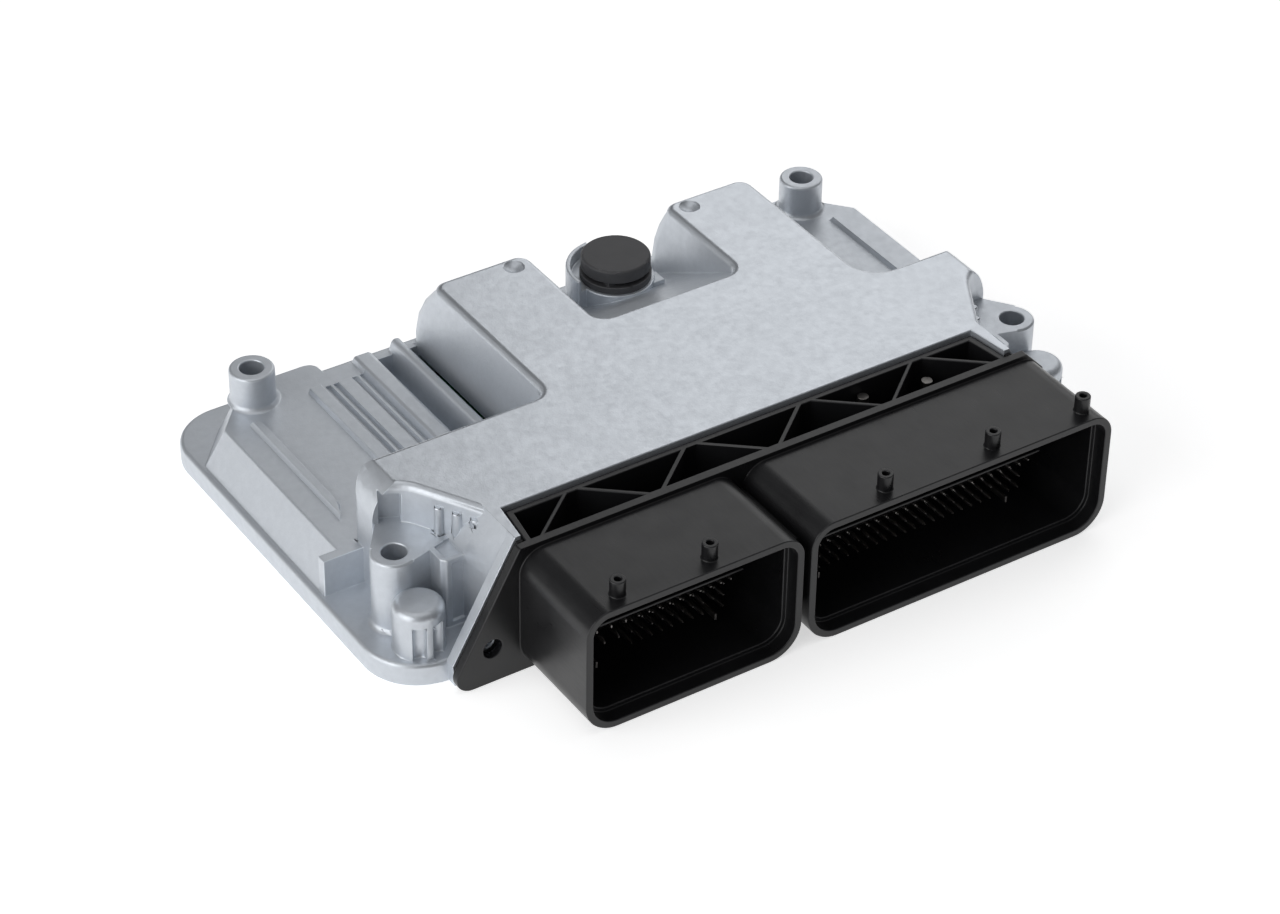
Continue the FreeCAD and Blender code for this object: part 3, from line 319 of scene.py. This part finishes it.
def plated_finish(name, colour, roughness, stretch, line=0.15 * MM):
    """Plated metal with rolling or turning lines drawn out along one axis."""
    material, tree, surface, place = new_finish(name)
    lines = noise(tree, place, line, 2, 0.5, stretch)
    stain = noise(tree, place, 4 * MM, 3)
    base = mixed(tree, stain, tint(colour, 0.88), tint(colour, 1.06))
    feed(tree, surface, "Base Color", base)
    feed(tree, surface, "Roughness", spread(tree, lines, 0.3, 0.7, roughness - 0.06, roughness + 0.08))
    feed(tree, surface, "Normal", raised(tree, lines, 0.004 * MM))
    surface.inputs["Metallic"].default_value = 1.0
    return material


def grained_finish(name, dark, light, grain, roughness, height=0.01 * MM, metallic=0.0):
    """Fired, sintered or moulded body with speckle in colour, gloss and skin."""
    material, tree, surface, place = new_finish(name)
    speckle = noise(tree, place, grain, 3, 0.6)
    cloud = noise(tree, place, 12 * grain, 2)
    factor = reckon(tree, "MULTIPLY", reckon(tree, "ADD", speckle, cloud), 0.5)
    feed(tree, surface, "Base Color", mixed(tree, spread(tree, factor, 0.35, 0.65, 0, 1), dark, light))
    feed(tree, surface, "Roughness", spread(tree, speckle, 0.3, 0.7, roughness - 0.08, roughness + 0.08))
    feed(tree, surface, "Normal", raised(tree, speckle, height))
    surface.inputs["Metallic"].default_value = metallic
    return material


def laminate_finish():
    """Green solder resist over a woven board, with copper tracks showing as raised lines."""
    material, tree, surface, place = new_finish("Board laminate")
    tracks = add_node(tree, "ShaderNodeTexBrick", {
        "Vector": place, "Scale": 1 / (2.4 * MM), "Mortar Size": 0.06, "Mortar Smooth": 0.2,
        "Color1": (0, 0, 0, 1), "Color2": (0, 0, 0, 1), "Mortar": (1, 1, 1, 1)}).outputs["Color"]
    weave = noise(tree, place, 0.5 * MM, 1)
    base = mixed(tree, weave, (0.012, 0.1, 0.035), (0.02, 0.14, 0.05))
    feed(tree, surface, "Base Color", mixed(tree, tracks, base, (0.05, 0.26, 0.09)))
    feed(tree, surface, "Normal", raised(tree, tracks, 0.03 * MM))
    feed(tree, surface, "Roughness", spread(tree, weave, 0.3, 0.7, 0.25, 0.4))
    return material


# Mesh helpers
def link(name, mesh):
    piece = bpy.data.objects.new(name, mesh)
    bpy.context.scene.collection.objects.link(piece)
    return piece


def flatten(piece):
    """Turns a piece with modifiers into a plain mesh at the origin."""
    evaluated = piece.evaluated_get(bpy.context.evaluated_depsgraph_get())
    mesh = bpy.data.meshes.new_from_object(evaluated)
    piece.modifiers.clear()
    piece.data = mesh
    return piece


def dress(piece, material, slot, *nodes):
    """Gives a finished piece its material, its body and the nodes that it stands for."""
    piece.data.materials.clear()
    piece.data.materials.append(material)
    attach(piece, BODY)
    if nodes:
        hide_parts(*nodes)
    return piece


def paint(material, *nodes):
    """Gives frame nodes a better material; their shapes stay as they are."""
    for name in nodes:
        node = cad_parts[name]
        if not node.material_slots:
            node.data.materials.append(material)
        for place in node.material_slots:
            place.material = material


def clean_copy(node):
    """The node's mesh as one closed surface, with its flat faces whole."""
    shape = bmesh.new()
    shape.from_mesh(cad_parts[node].data)
    bmesh.ops.remove_doubles(shape, verts=shape.verts, dist=MERGE_DISTANCE)
    bmesh.ops.dissolve_limit(shape, angle_limit=FLAT_ANGLE, verts=shape.verts, edges=shape.edges)
    shape.normal_update()
    return shape


def room_beside(shape, sharp):
    """How far each sharp edge is from what lies across the faces beside it."""
    room = dict.fromkeys(sharp, FAR)
    for face in shape.faces:
        starts = np.array([loop.vert.co for loop in face.loops])
        runs = np.roll(starts, -1, 0) - starts
        lengths = np.maximum((runs * runs).sum(1), 1e-18)
        for i, loop in enumerate(face.loops):
            if loop.edge not in room:
                continue
            inward = np.cross(face.normal, runs[i]) / math.sqrt(lengths[i])
            middle = starts[i] + runs[i] / 2
            along = np.clip(((middle - starts) * runs).sum(1) / lengths, 0, 1)
            gaps = starts + runs * along[:, None] - middle
            distances = np.sqrt((gaps * gaps).sum(1))
            across = gaps @ inward > distances / 2
            across[i] = False
            if across.any():
                room[loop.edge] = min(room[loop.edge], float(distances[across].min()))
    return room


def free_length(edge):
    """Shortest edge that meets this one at an angle."""
    shortest = FAR
    for corner in edge.verts:
        along = edge.other_vert(corner).co - corner.co
        for other in corner.link_edges:
            if other is edge:
                continue
            away = corner.co - other.other_vert(corner).co
            if along.angle(away, 0) > STRAIGHT_ANGLE:
                shortest = min(shortest, other.calc_length())
    return shortest


def mark_edges(shape, radius):
    """Writes how much of the radius each sharp edge has room for."""
    weight = shape.edges.layers.float.new("bevel_weight_edge")
    sharp = [edge for edge in shape.edges if edge.calc_face_angle(0) > SHARP_ANGLE]
    room = room_beside(shape, sharp)
    for edge in sharp:
        edge[weight] = min(1.0, EDGE_SHARE * min(room[edge], free_length(edge)) / radius)
    for _ in range(EASE_PASSES):
        eased = {}
        for edge in sharp:
            beside = [other[weight] for corner in edge.verts for other in corner.link_edges if other in room]
            eased[edge] = min(edge[weight], EASE_RATIO * min(beside) + EASE_FLOOR)
        for edge, value in eased.items():
            edge[weight] = value


def write_level(shape):
    """Writes each corner's normal, led by the largest faces round it, and marks convex edges."""
    shape.verts.layers.float_vector.new("level")
    edge = shape.verts.layers.float.new("edge")
    level = shape.verts.layers.float_vector["level"]
    areas = {face: face.calc_area() for face in shape.faces}
    for corner in shape.verts:
        largest = max(areas[face] for face in corner.link_faces)
        normal = Vector()
        for face in corner.link_faces:
            normal += face.normal * (areas[face] / largest)**2
        total = sum((areas[face] / largest)**2 for face in corner.link_faces)
        lean = sum((link.other_vert(corner).co - corner.co).dot(normal) for link in corner.link_edges)
        corner[edge] = 1.0 if normal.length < EDGE_FLATNESS * total and lean < 0 else 0.0
        corner[level] = normal.normalized()
    return level


def refill(shape, level):
    """Divides each many-sided face into triangles that stay inside its outline."""
    for face in [face for face in shape.faces if len(face.verts) > 4]:
        origin = face.verts[0].co.copy()
        across = face.normal.orthogonal().normalized()
        upward = face.normal.cross(across)
        corners = list(face.verts)
        flat = [Vector(((v.co - origin).dot(across), (v.co - origin).dot(upward))) / MM for v in corners]
        count = len(flat)
        ring = [(i, (i + 1) % count) for i in range(count)]
        places, _, triangles, sources, _, _ = delaunay_2d_cdt(flat, ring, [], 0, FILL_TOLERANCE, True)
        outline = np.array(flat)
        found = np.array(places)
        middles = found[np.array(triangles)].mean(1)
        first = outline[None] - middles[:, None]
        second = np.roll(outline, -1, 0)[None] - middles[:, None]
        crossed = first[..., 0] * second[..., 1] - first[..., 1] * second[..., 0]
        turns = np.arctan2(crossed, (first * second).sum(-1))
        inside = turns.sum(1) > math.pi
        points = []
        for place, source in zip(places, sources):
            if source:
                points.append(corners[source[0]])
            else:
                points.append(shape.verts.new(origin + (across * place.x + upward * place.y) * MM))
                points[-1][level] = face.normal
        shape.faces.remove(face)
        for triangle, wanted in zip(triangles, inside):
            chosen = [points[i] for i in triangle]
            if wanted and len(set(chosen)) == 3:
                shape.faces.new(chosen).smooth = True


def rounded(node, name, radius, segments=2):
    """Copy of a node with its sharp edges rounded, less where an edge has little room."""
    shape = clean_copy(node)
    mark_edges(shape, radius)
    mesh = bpy.data.meshes.new(name)
    shape.to_mesh(mesh)
    shape.free()
    piece = link(name, mesh)
    rounding = piece.modifiers.new("Rounding", "BEVEL")
    rounding.limit_method = "WEIGHT"
    rounding.width = radius
    rounding.segments = segments
    rounding.use_clamp_overlap = False
    flatten(piece)
    shape = bmesh.new()
    shape.from_mesh(piece.data)
    for face in shape.faces:
        face.smooth = True
    refill(shape, write_level(shape))
    shape.to_mesh(piece.data)
    shape.free()
    mesh = piece.data
    normals = np.empty(3 * len(mesh.vertices), np.float32)
    mesh.attributes["level"].data.foreach_get("vector", normals)
    mesh.normals_split_custom_set_from_vertices(normals.reshape(-1, 3))
    mesh.attributes.remove(mesh.attributes["level"])
    return piece


def islands(node):
    """Lowest and highest corner of each separate solid in a node."""
    shape = bmesh.new()
    shape.from_mesh(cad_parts[node].data)
    bmesh.ops.remove_doubles(shape, verts=shape.verts, dist=MERGE_DISTANCE)
    left = set(shape.verts)
    boxes = []
    while left:
        group = [left.pop()]
        for corner in group:
            for edge in corner.link_edges:
                other = edge.other_vert(corner)
                if other in left:
                    left.remove(other)
                    group.append(other)
        places = [corner.co for corner in group]
        low = Vector([min(p[i] for p in places) for i in range(3)])
        high = Vector([max(p[i] for p in places) for i in range(3)])
        boxes.append((low, high))
    shape.free()
    return sorted(boxes, key=lambda box: tuple(round(v, 6) for v in (*box[0], *box[1])))


# Geometry node helpers
def new_tree(name, sockets):
    """Node tree with a Geometry input, the named inputs and a Geometry output."""
    tree = bpy.data.node_groups.new(name, "GeometryNodeTree")
    tree.interface.new_socket("Geometry", in_out="INPUT", socket_type="NodeSocketGeometry")
    for label, kind, value in sockets:
        socket = tree.interface.new_socket(label, in_out="INPUT", socket_type=kind)
        if value is not None:
            socket.default_value = value
    tree.interface.new_socket("Geometry", in_out="OUTPUT", socket_type="NodeSocketGeometry")
    return tree, tree.nodes.new("NodeGroupInput").outputs


def close_tree(tree, geometry, material):
    """Ends a tree in Realize Instances and Set Material."""
    real = add_node(tree, "GeometryNodeRealizeInstances", {"Geometry": geometry})
    coated = add_node(tree, "GeometryNodeSetMaterial", {"Geometry": real.outputs[0], "Material": material})
    add_node(tree, "NodeGroupOutput", {"Geometry": coated.outputs[0]})
    return tree


def grow(tree, points, values):
    """Plain mesh that a tree makes at the given points."""
    seed_mesh = bpy.data.meshes.new("Points")
    seed_mesh.from_pydata(points, [], [])
    seed = link("Points", seed_mesh)
    build = seed.modifiers.new("Build", "NODES")
    build.node_group = tree
    for item in tree.interface.items_tree:
        if item.in_out == "INPUT" and item.name in values:
            build[item.identifier] = values[item.name]
    evaluated = seed.evaluated_get(bpy.context.evaluated_depsgraph_get())
    mesh = bpy.data.meshes.new_from_object(evaluated)
    bpy.data.objects.remove(seed)
    return mesh


def joined(name, meshes):
    """One piece from several plain meshes."""
    shape = bmesh.new()
    for mesh in meshes:
        shape.from_mesh(mesh)
    bmesh.ops.recalc_face_normals(shape, faces=shape.faces)
    whole = bpy.data.meshes.new(name)
    shape.to_mesh(whole)
    shape.free()
    return link(name, whole)


def contact_tree():
    """Bent contact with a tapered tip at each point, which is the tip's middle."""
    tree, given = new_tree("Contacts", [
        ("Reach", "NodeSocketFloat", 0.04), ("Drop", "NodeSocketFloat", 0.01),
        ("Width", "NodeSocketFloat", 0.001),
        ("Thickness", "NodeSocketFloat", 0.001), ("Taper", "NodeSocketFloat", 0.001),
        ("Tip share", "NodeSocketFloat", 0.5), ("Bend", "NodeSocketFloat", 0.001),
        ("Material", "NodeSocketMaterial", None)])
    index = add_node(tree, "GeometryNodeInputIndex").outputs[0]

    def chosen(first, when, otherwise, value):
        test = add_node(tree, "FunctionNodeCompare", data_type="INT", operation="GREATER_EQUAL")
        tree.links.new(first, test.inputs[2])
        test.inputs[3].default_value = when
        switch = add_node(tree, "GeometryNodeSwitch", {"Switch": test.outputs[0]}, input_type="FLOAT")
        for socket, source in (("False", otherwise), ("True", value)):
            if isinstance(source, bpy.types.NodeSocket):
                tree.links.new(source, switch.inputs[socket])
            else:
                switch.inputs[socket].default_value = source
        return switch.outputs[0]

    along = chosen(index, 2, chosen(index, 1, 0.0, given["Taper"]), given["Reach"])
    fallen = reckon(tree, "MULTIPLY", given["Drop"], -1.0)
    height = chosen(index, 3, 0.0, fallen)
    place = add_node(tree, "ShaderNodeCombineXYZ", {"Y": along, "Z": height}).outputs[0]
    line = add_node(tree, "GeometryNodeMeshLine", {"Count": 4})
    laid = add_node(tree, "GeometryNodeSetPosition", {"Geometry": line.outputs[0], "Position": place})
    path = add_node(tree, "GeometryNodeMeshToCurve", {"Mesh": laid.outputs[0]}).outputs[0]
    share = chosen(index, 1, given["Tip share"], 1.0)
    path = add_node(tree, "GeometryNodeSetCurveRadius", {"Curve": path, "Radius": share}).outputs[0]
    last = chosen(index, 2, 0.0, given["Bend"])
    path = add_node(tree, "GeometryNodeFilletCurve", {"Curve": path, "Count": 4, "Radius": last},
                    mode="POLY").outputs[0]
    profile = add_node(tree, "GeometryNodeCurvePrimitiveQuadrilateral",
                       {"Width": given["Thickness"], "Height": given["Width"]}).outputs[0]
    turned = add_node(tree, "GeometryNodeCurveToMesh",
                      {"Curve": path, "Profile Curve": profile, "Fill Caps": True})
    if "Scale" in turned.inputs:
        radius = add_node(tree, "GeometryNodeInputRadius").outputs[0]
        tree.links.new(radius, turned.inputs["Scale"])
    placed = add_node(tree, "GeometryNodeInstanceOnPoints",
                      {"Points": given["Geometry"], "Instance": turned.outputs[0]})
    return close_tree(tree, placed.outputs[0], given["Material"])


def screw_tree():
    """Flat screw head with a lobed recess, looked at from below, at each point."""
    tree, given = new_tree("Cover screws", [
        ("Head radius", "NodeSocketFloat", 0.0026), ("Head height", "NodeSocketFloat", 0.001),
        ("Shank radius", "NodeSocketFloat", 0.0015), ("Length", "NodeSocketFloat", 0.005),
        ("Recess radius", "NodeSocketFloat", 0.0013), ("Recess depth", "NodeSocketFloat", 0.0006),
        ("Lobes", "NodeSocketInt", 6), ("Chamfer", "NodeSocketFloat", 0.0002),
        ("Material", "NodeSocketMaterial", None)])

    def half(value):
        return reckon(tree, "MULTIPLY", value, 0.5)

    def lifted(geometry, height):
        up = add_node(tree, "ShaderNodeCombineXYZ", {"Z": height}).outputs[0]
        return add_node(tree, "GeometryNodeTransform", {"Geometry": geometry, "Translation": up}).outputs[0]

    narrow = reckon(tree, "SUBTRACT", given["Head radius"], given["Chamfer"])
    tall = reckon(tree, "SUBTRACT", given["Head height"], given["Chamfer"])
    rim = add_node(tree, "GeometryNodeMeshCone", {
        "Vertices": HEAD_FACETS, "Radius Top": given["Head radius"], "Radius Bottom": narrow,
        "Depth": given["Chamfer"]})
    head = add_node(tree, "GeometryNodeMeshCylinder",
                    {"Vertices": HEAD_FACETS, "Radius": given["Head radius"], "Depth": tall})
    head_place = reckon(tree, "ADD", given["Chamfer"], half(tall))
    shank_length = reckon(tree, "SUBTRACT", given["Length"], given["Head height"])
    shank = add_node(tree, "GeometryNodeMeshCylinder",
                     {"Vertices": SHANK_FACETS, "Radius": given["Shank radius"], "Depth": shank_length})
    shank_place = reckon(tree, "ADD", given["Head height"], half(shank_length))
    star = add_node(tree, "GeometryNodeCurveStar", {
        "Points": given["Lobes"], "Inner Radius": reckon(tree, "MULTIPLY", given["Recess radius"], LOBE_WAIST),
        "Outer Radius": given["Recess radius"]}).outputs[0]
    softened = add_node(tree, "GeometryNodeFilletCurve", {"Curve": star, "Count": 3, "Radius": RECESS_SOFTENING},
                        mode="POLY").outputs[0]
    filled = add_node(tree, "GeometryNodeFillCurve", {"Curve": softened}, mode="NGONS").outputs[0]
    deep = add_node(tree, "GeometryNodeExtrudeMesh", {
        "Mesh": filled, "Offset Scale": reckon(tree, "MULTIPLY", given["Recess depth"], 2.0)})
    lid = add_node(tree, "GeometryNodeFlipFaces", {"Mesh": filled}).outputs[0]
    tool = add_node(tree, "GeometryNodeJoinGeometry")
    tree.links.new(deep.outputs["Mesh"], tool.inputs[0])
    tree.links.new(lid, tool.inputs[0])
    sealed = add_node(tree, "GeometryNodeMergeByDistance",
                      {"Geometry": tool.outputs[0], "Distance": SEAL_DISTANCE}).outputs[0]
    down = reckon(tree, "MULTIPLY", given["Recess depth"], -1.0)
    cutter = lifted(sealed, down)
    united = add_node(tree, "GeometryNodeMeshBoolean", operation="UNION", solver="EXACT")
    for geometry in (rim.outputs["Mesh"], lifted(head.outputs["Mesh"], head_place),
                     lifted(shank.outputs["Mesh"], shank_place)):
        tree.links.new(geometry, united.inputs["Mesh 2"])
    carved = add_node(tree, "GeometryNodeMeshBoolean", {"Mesh 1": united.outputs[0], "Mesh 2": cutter},
                      operation="DIFFERENCE", solver="EXACT")
    placed = add_node(tree, "GeometryNodeInstanceOnPoints",
                      {"Points": given["Geometry"], "Instance": carved.outputs[0]})
    return close_tree(tree, placed.outputs[0], given["Material"])


# Pieces
class ECU_OT_casting(bpy.types.Operator):
    """Make the cast housing with rounded edges and its bare aluminium skin"""
    bl_idname = "ecu.casting"
    bl_label = "Cast housing"

    def execute(self, context):
        settings = context.scene.ecu_casting
        piece = rounded("upper_housing", "housing_casting", settings.edge_radius)
        dress(piece, cast_finish(settings), "cast_aluminium", "upper_housing")
        return {"FINISHED"}


class ECU_OT_header(bpy.types.Operator):
    """Make the moulded connector header with rounded edges, and finish its seals"""
    bl_idname = "ecu.header"
    bl_label = "Connector header"

    def execute(self, context):
        settings = context.scene.ecu_moulding
        piece = rounded("connector_header", "header_moulding", settings.edge_radius)
        dress(piece, moulded_finish(settings), "black_plastic", "connector_header")
        paint(rubber_finish(), "header_gasket", "strip_seal", "vent_seal", "cover_seal")
        return {"FINISHED"}


class ECU_OT_contacts(bpy.types.Operator):
    """Make the bent contacts with tapered tips, the index blades and the locating pins"""
    bl_idname = "ecu.contacts"
    bl_label = "Contacts"

    def execute(self, context):
        settings = context.scene.ecu_contacts
        # Darkened tin: painted shade of the connector mouths, used on the contacts, index blades and locating
        # pins.
        tin = plated_finish("Tin plating darkened for painted shade", tuple(settings.colour), 0.38, (1, 14, 14))
        tree = contact_tree()
        for node in ("signal_pins_small", "signal_pins_large", "power_pins"):
            rows = {}
            half = settings.thickness / 2
            for low, high in islands(node):
                reach = high.y - half - low.y
                drop = high.z - half - low.z
                width = high.x - low.x
                key = (round(reach, 6), round(drop, 6), round(width, 6))
                rows.setdefault(key, []).append(((low.x + high.x) / 2, low.y, high.z - half))
            meshes = []
            for (reach, drop, width), tips in sorted(rows.items()):
                meshes.append(grow(tree, tips, {
                    "Reach": reach, "Drop": drop, "Width": width, "Thickness": settings.thickness,
                    "Taper": settings.taper, "Tip share": settings.tip_share, "Bend": settings.bend,
                    "Material": tin}))
            dress(joined(node + "_plated", meshes), tin, "pin_metal", node)
        for node in ("index_blades", "locating_pins"):
            dress(rounded(node, node + "_plated", PIN_RADIUS), tin, "pin_metal", node)
        return {"FINISHED"}


class ECU_OT_vent(bpy.types.Operator):
    """Make the pressure vent's ring and cap with softened edges, and its membrane"""
    bl_idname = "ecu.vent"
    bl_label = "Pressure vent"

    def execute(self, context):
        settings = context.scene.ecu_vent
        plastic = vent_finish(settings)
        for node, name in (("vent_cap", "vent_cap_moulding"), ("vent_body", "vent_ring_moulding")):
            dress(rounded(node, name, settings.edge_radius), plastic, "vent_plastic", node)
        felt = grained_finish("Vent membrane", (0.7, 0.7, 0.68), (0.85, 0.85, 0.83), 0.1 * MM, 0.8)
        paint(felt, "vent_membrane")
        return {"FINISHED"}


class ECU_OT_underside(bpy.types.Operator):
    """Make the pressed cover and the screws that hold it"""
    bl_idname = "ecu.underside"
    bl_label = "Base cover and screws"

    def execute(self, context):
        settings = context.scene.ecu_underside
        sheet = plated_finish("Pressed cover sheet", tuple(settings.sheet_colour), 0.38, (30, 1, 1), 0.2 * MM)
        dress(rounded("base_cover", "cover_pressing", COVER_RADIUS), sheet, "pressed_cover", "base_cover")
        zinc = plated_finish("Zinc plating", (0.6, 0.6, 0.62), 0.32, (6, 1, 1))
        boxes = islands("cover_screws")
        low, high = boxes[0]
        points = [((low.x + high.x) / 2, (low.y + high.y) / 2, low.z) for low, high in boxes]
        mesh = grow(screw_tree(), points, {
            "Head radius": (high.x - low.x) / 2, "Length": high.z - low.z, "Lobes": settings.lobes,
            "Recess radius": settings.recess_radius, "Material": zinc})
        dress(joined("cover_screws_plated", [mesh]), zinc, "screw_steel", "cover_screws")
        paint(zinc, "board_screws", "crystal")
        return {"FINISHED"}


class ECU_OT_board(bpy.types.Operator):
    """Finish the circuit board and the components on it"""
    bl_idname = "ecu.board"
    bl_label = "Circuit board"

    def execute(self, context):
        paint(laminate_finish(), "circuit_board")
        package = grained_finish("Chip package", (0.018, 0.018, 0.02), (0.035, 0.035, 0.037),
                                 0.15 * MM, 0.5)
        paint(package, "main_processor", "flash_memory", "power_supply_chip", "output_drivers",
              "power_transistors", "bus_transceivers", "knock_interface", "pressure_sensor")
        pad = grained_finish("Thermal pad", (0.4, 0.46, 0.52), (0.52, 0.57, 0.62), 0.3 * MM, 0.75)
        paint(pad, "thermal_pads")
        can = grained_finish("Capacitor can", (0.5, 0.5, 0.52), (0.66, 0.66, 0.68),
                             0.4 * MM, 0.35, 0.003 * MM, 1.0)
        paint(can, "storage_capacitors")
        ferrite = grained_finish("Ferrite", (0.045, 0.045, 0.05), (0.09, 0.09, 0.095), 0.25 * MM, 0.6)
        paint(ferrite, "boost_coil", "current_shunts", "input_choke")
        paint(grained_finish("Fired ceramic", (0.4, 0.3, 0.2), (0.55, 0.45, 0.32), 0.1 * MM, 0.45),
              "chip_capacitors", "chip_resistors")
        return {"FINISHED"}


class ECU_OT_stage(bpy.types.Operator):
    """Make the floor, the soft lights and the camera"""
    bl_idname = "ecu.stage"
    bl_label = "Studio"

    def execute(self, context):
        settings = context.scene.ecu_stage
        self.make_floor(settings)
        self.make_world(context.scene, settings)
        self.make_light("Back light", settings.back_light, (0.78, 0.62, 0.6), (1.0, 0.9))
        self.make_light("Left light", settings.left_light, (-1.15, -0.1, 0.5), (1.3, 1.0))
        self.make_light("Top light", settings.top_light, (-0.1, 0.0, 1.2), (1.0, 1.0))
        self.make_camera(context.scene, settings)
        context.scene.view_settings.view_transform = "Standard"
        return {"FINISHED"}

    def make_floor(self, settings):
        material, tree, surface, place = new_finish("Pale floor")
        cloud = noise(tree, place, 0.4, 2)
        colour = tuple(settings.floor_colour)
        feed(tree, surface, "Base Color", mixed(tree, cloud, tint(colour, 0.99), tint(colour, 1.01)))
        surface.inputs["Roughness"].default_value = 0.9
        surface.inputs["Specular IOR Level"].default_value = 0.1
        surface.inputs["Emission Color"].default_value = (1, 1, 1, 1)
        rays = add_node(tree, "ShaderNodeLightPath").outputs
        seen = reckon(tree, "MAXIMUM", rays["Is Camera Ray"], rays["Is Glossy Ray"])
        seen = reckon(tree, "MAXIMUM", seen, rays["Is Transmission Ray"])
        feed(tree, surface, "Emission Strength", reckon(tree, "MULTIPLY", seen, settings.backdrop))
        reach = FLOOR_REACH
        mesh = bpy.data.meshes.new("Floor")
        mesh.from_pydata([(-reach, -reach, 0), (reach, -reach, 0), (reach, reach, 0), (-reach, reach, 0)],
                         [], [(0, 1, 2, 3)])
        mesh.materials.append(material)
        link("floor", mesh)

    def make_world(self, scene, settings):
        world = bpy.data.worlds.new("Studio")
        world.use_nodes = True
        tree = world.node_tree
        tree.nodes.clear()
        glow = {"Color": (0.97, 0.98, 1.0, 1), "Strength": settings.sky}
        around = add_node(tree, "ShaderNodeBackground", glow)
        add_node(tree, "ShaderNodeOutputWorld", {"Surface": around.outputs[0]})
        scene.world = world

    def make_light(self, name, power, place, size):
        light = bpy.data.lights.new(name, "AREA")
        light.shape = "RECTANGLE"
        light.size, light.size_y = size
        light.energy = power
        lamp = bpy.data.objects.new(name, light)
        bpy.context.scene.collection.objects.link(lamp)
        lamp.location = place
        lamp.rotation_mode = "QUATERNION"
        lamp.rotation_quaternion = Vector(place).to_track_quat("Z", "Y")

    def make_camera(self, scene, settings):
        azimuth, elevation, roll = settings.azimuth, settings.elevation, settings.roll
        back = Vector((math.sin(azimuth) * math.cos(elevation), -math.cos(azimuth) * math.cos(elevation),
                       math.sin(elevation)))
        right = Vector((math.cos(azimuth), math.sin(azimuth), 0))
        up = back.cross(right)
        across = right * math.cos(roll) - up * math.sin(roll)
        upward = right * math.sin(roll) + up * math.cos(roll)
        data = bpy.data.cameras.new("Camera")
        data.sensor_width = 36
        data.lens = settings.lens
        data.clip_start = 0.05
        data.clip_end = 50
        camera = bpy.data.objects.new("Camera", data)
        scene.collection.objects.link(camera)
        turn = Matrix((across, upward, back)).transposed().to_4x4()
        camera.matrix_world = Matrix.Translation(Vector(settings.place)) @ turn
        scene.camera = camera


class ECU_PT_panel(bpy.types.Panel):
    """Lists the pieces of the control unit"""
    bl_idname = "ECU_PT_panel"
    bl_label = "Control unit"
    bl_space_type = "VIEW_3D"
    bl_region_type = "UI"
    bl_category = "Control unit"

    def draw(self, context):
        for operator in OPERATORS:
            self.layout.operator(operator.bl_idname)
        for name in SETTINGS:
            group = getattr(context.scene, name)
            box = self.layout.box()
            for prop in group.__annotations__:
                box.prop(group, prop)


OPERATORS = (ECU_OT_casting, ECU_OT_header, ECU_OT_contacts, ECU_OT_vent, ECU_OT_underside, ECU_OT_board,
             ECU_OT_stage)
SETTINGS = {"ecu_casting": CastingSettings, "ecu_moulding": MouldingSettings, "ecu_contacts": ContactSettings,
            "ecu_vent": VentSettings, "ecu_underside": UndersideSettings, "ecu_stage": StageSettings}


def register():
    for group in (*SETTINGS.values(), *OPERATORS, ECU_PT_panel):
        bpy.utils.register_class(group)
    for name, group in SETTINGS.items():
        setattr(bpy.types.Scene, name, PointerProperty(type=group))


def unregister():
    for name in SETTINGS:
        delattr(bpy.types.Scene, name)
    for group in reversed((*SETTINGS.values(), *OPERATORS, ECU_PT_panel)):
        bpy.utils.unregister_class(group)


def main():
    register()
    bpy.ops.ecu.casting()
    bpy.ops.ecu.header()
    bpy.ops.ecu.contacts()
    bpy.ops.ecu.vent()
    bpy.ops.ecu.underside()
    bpy.ops.ecu.board()
    bpy.ops.ecu.stage()


if __name__ == "__main__":
    main()
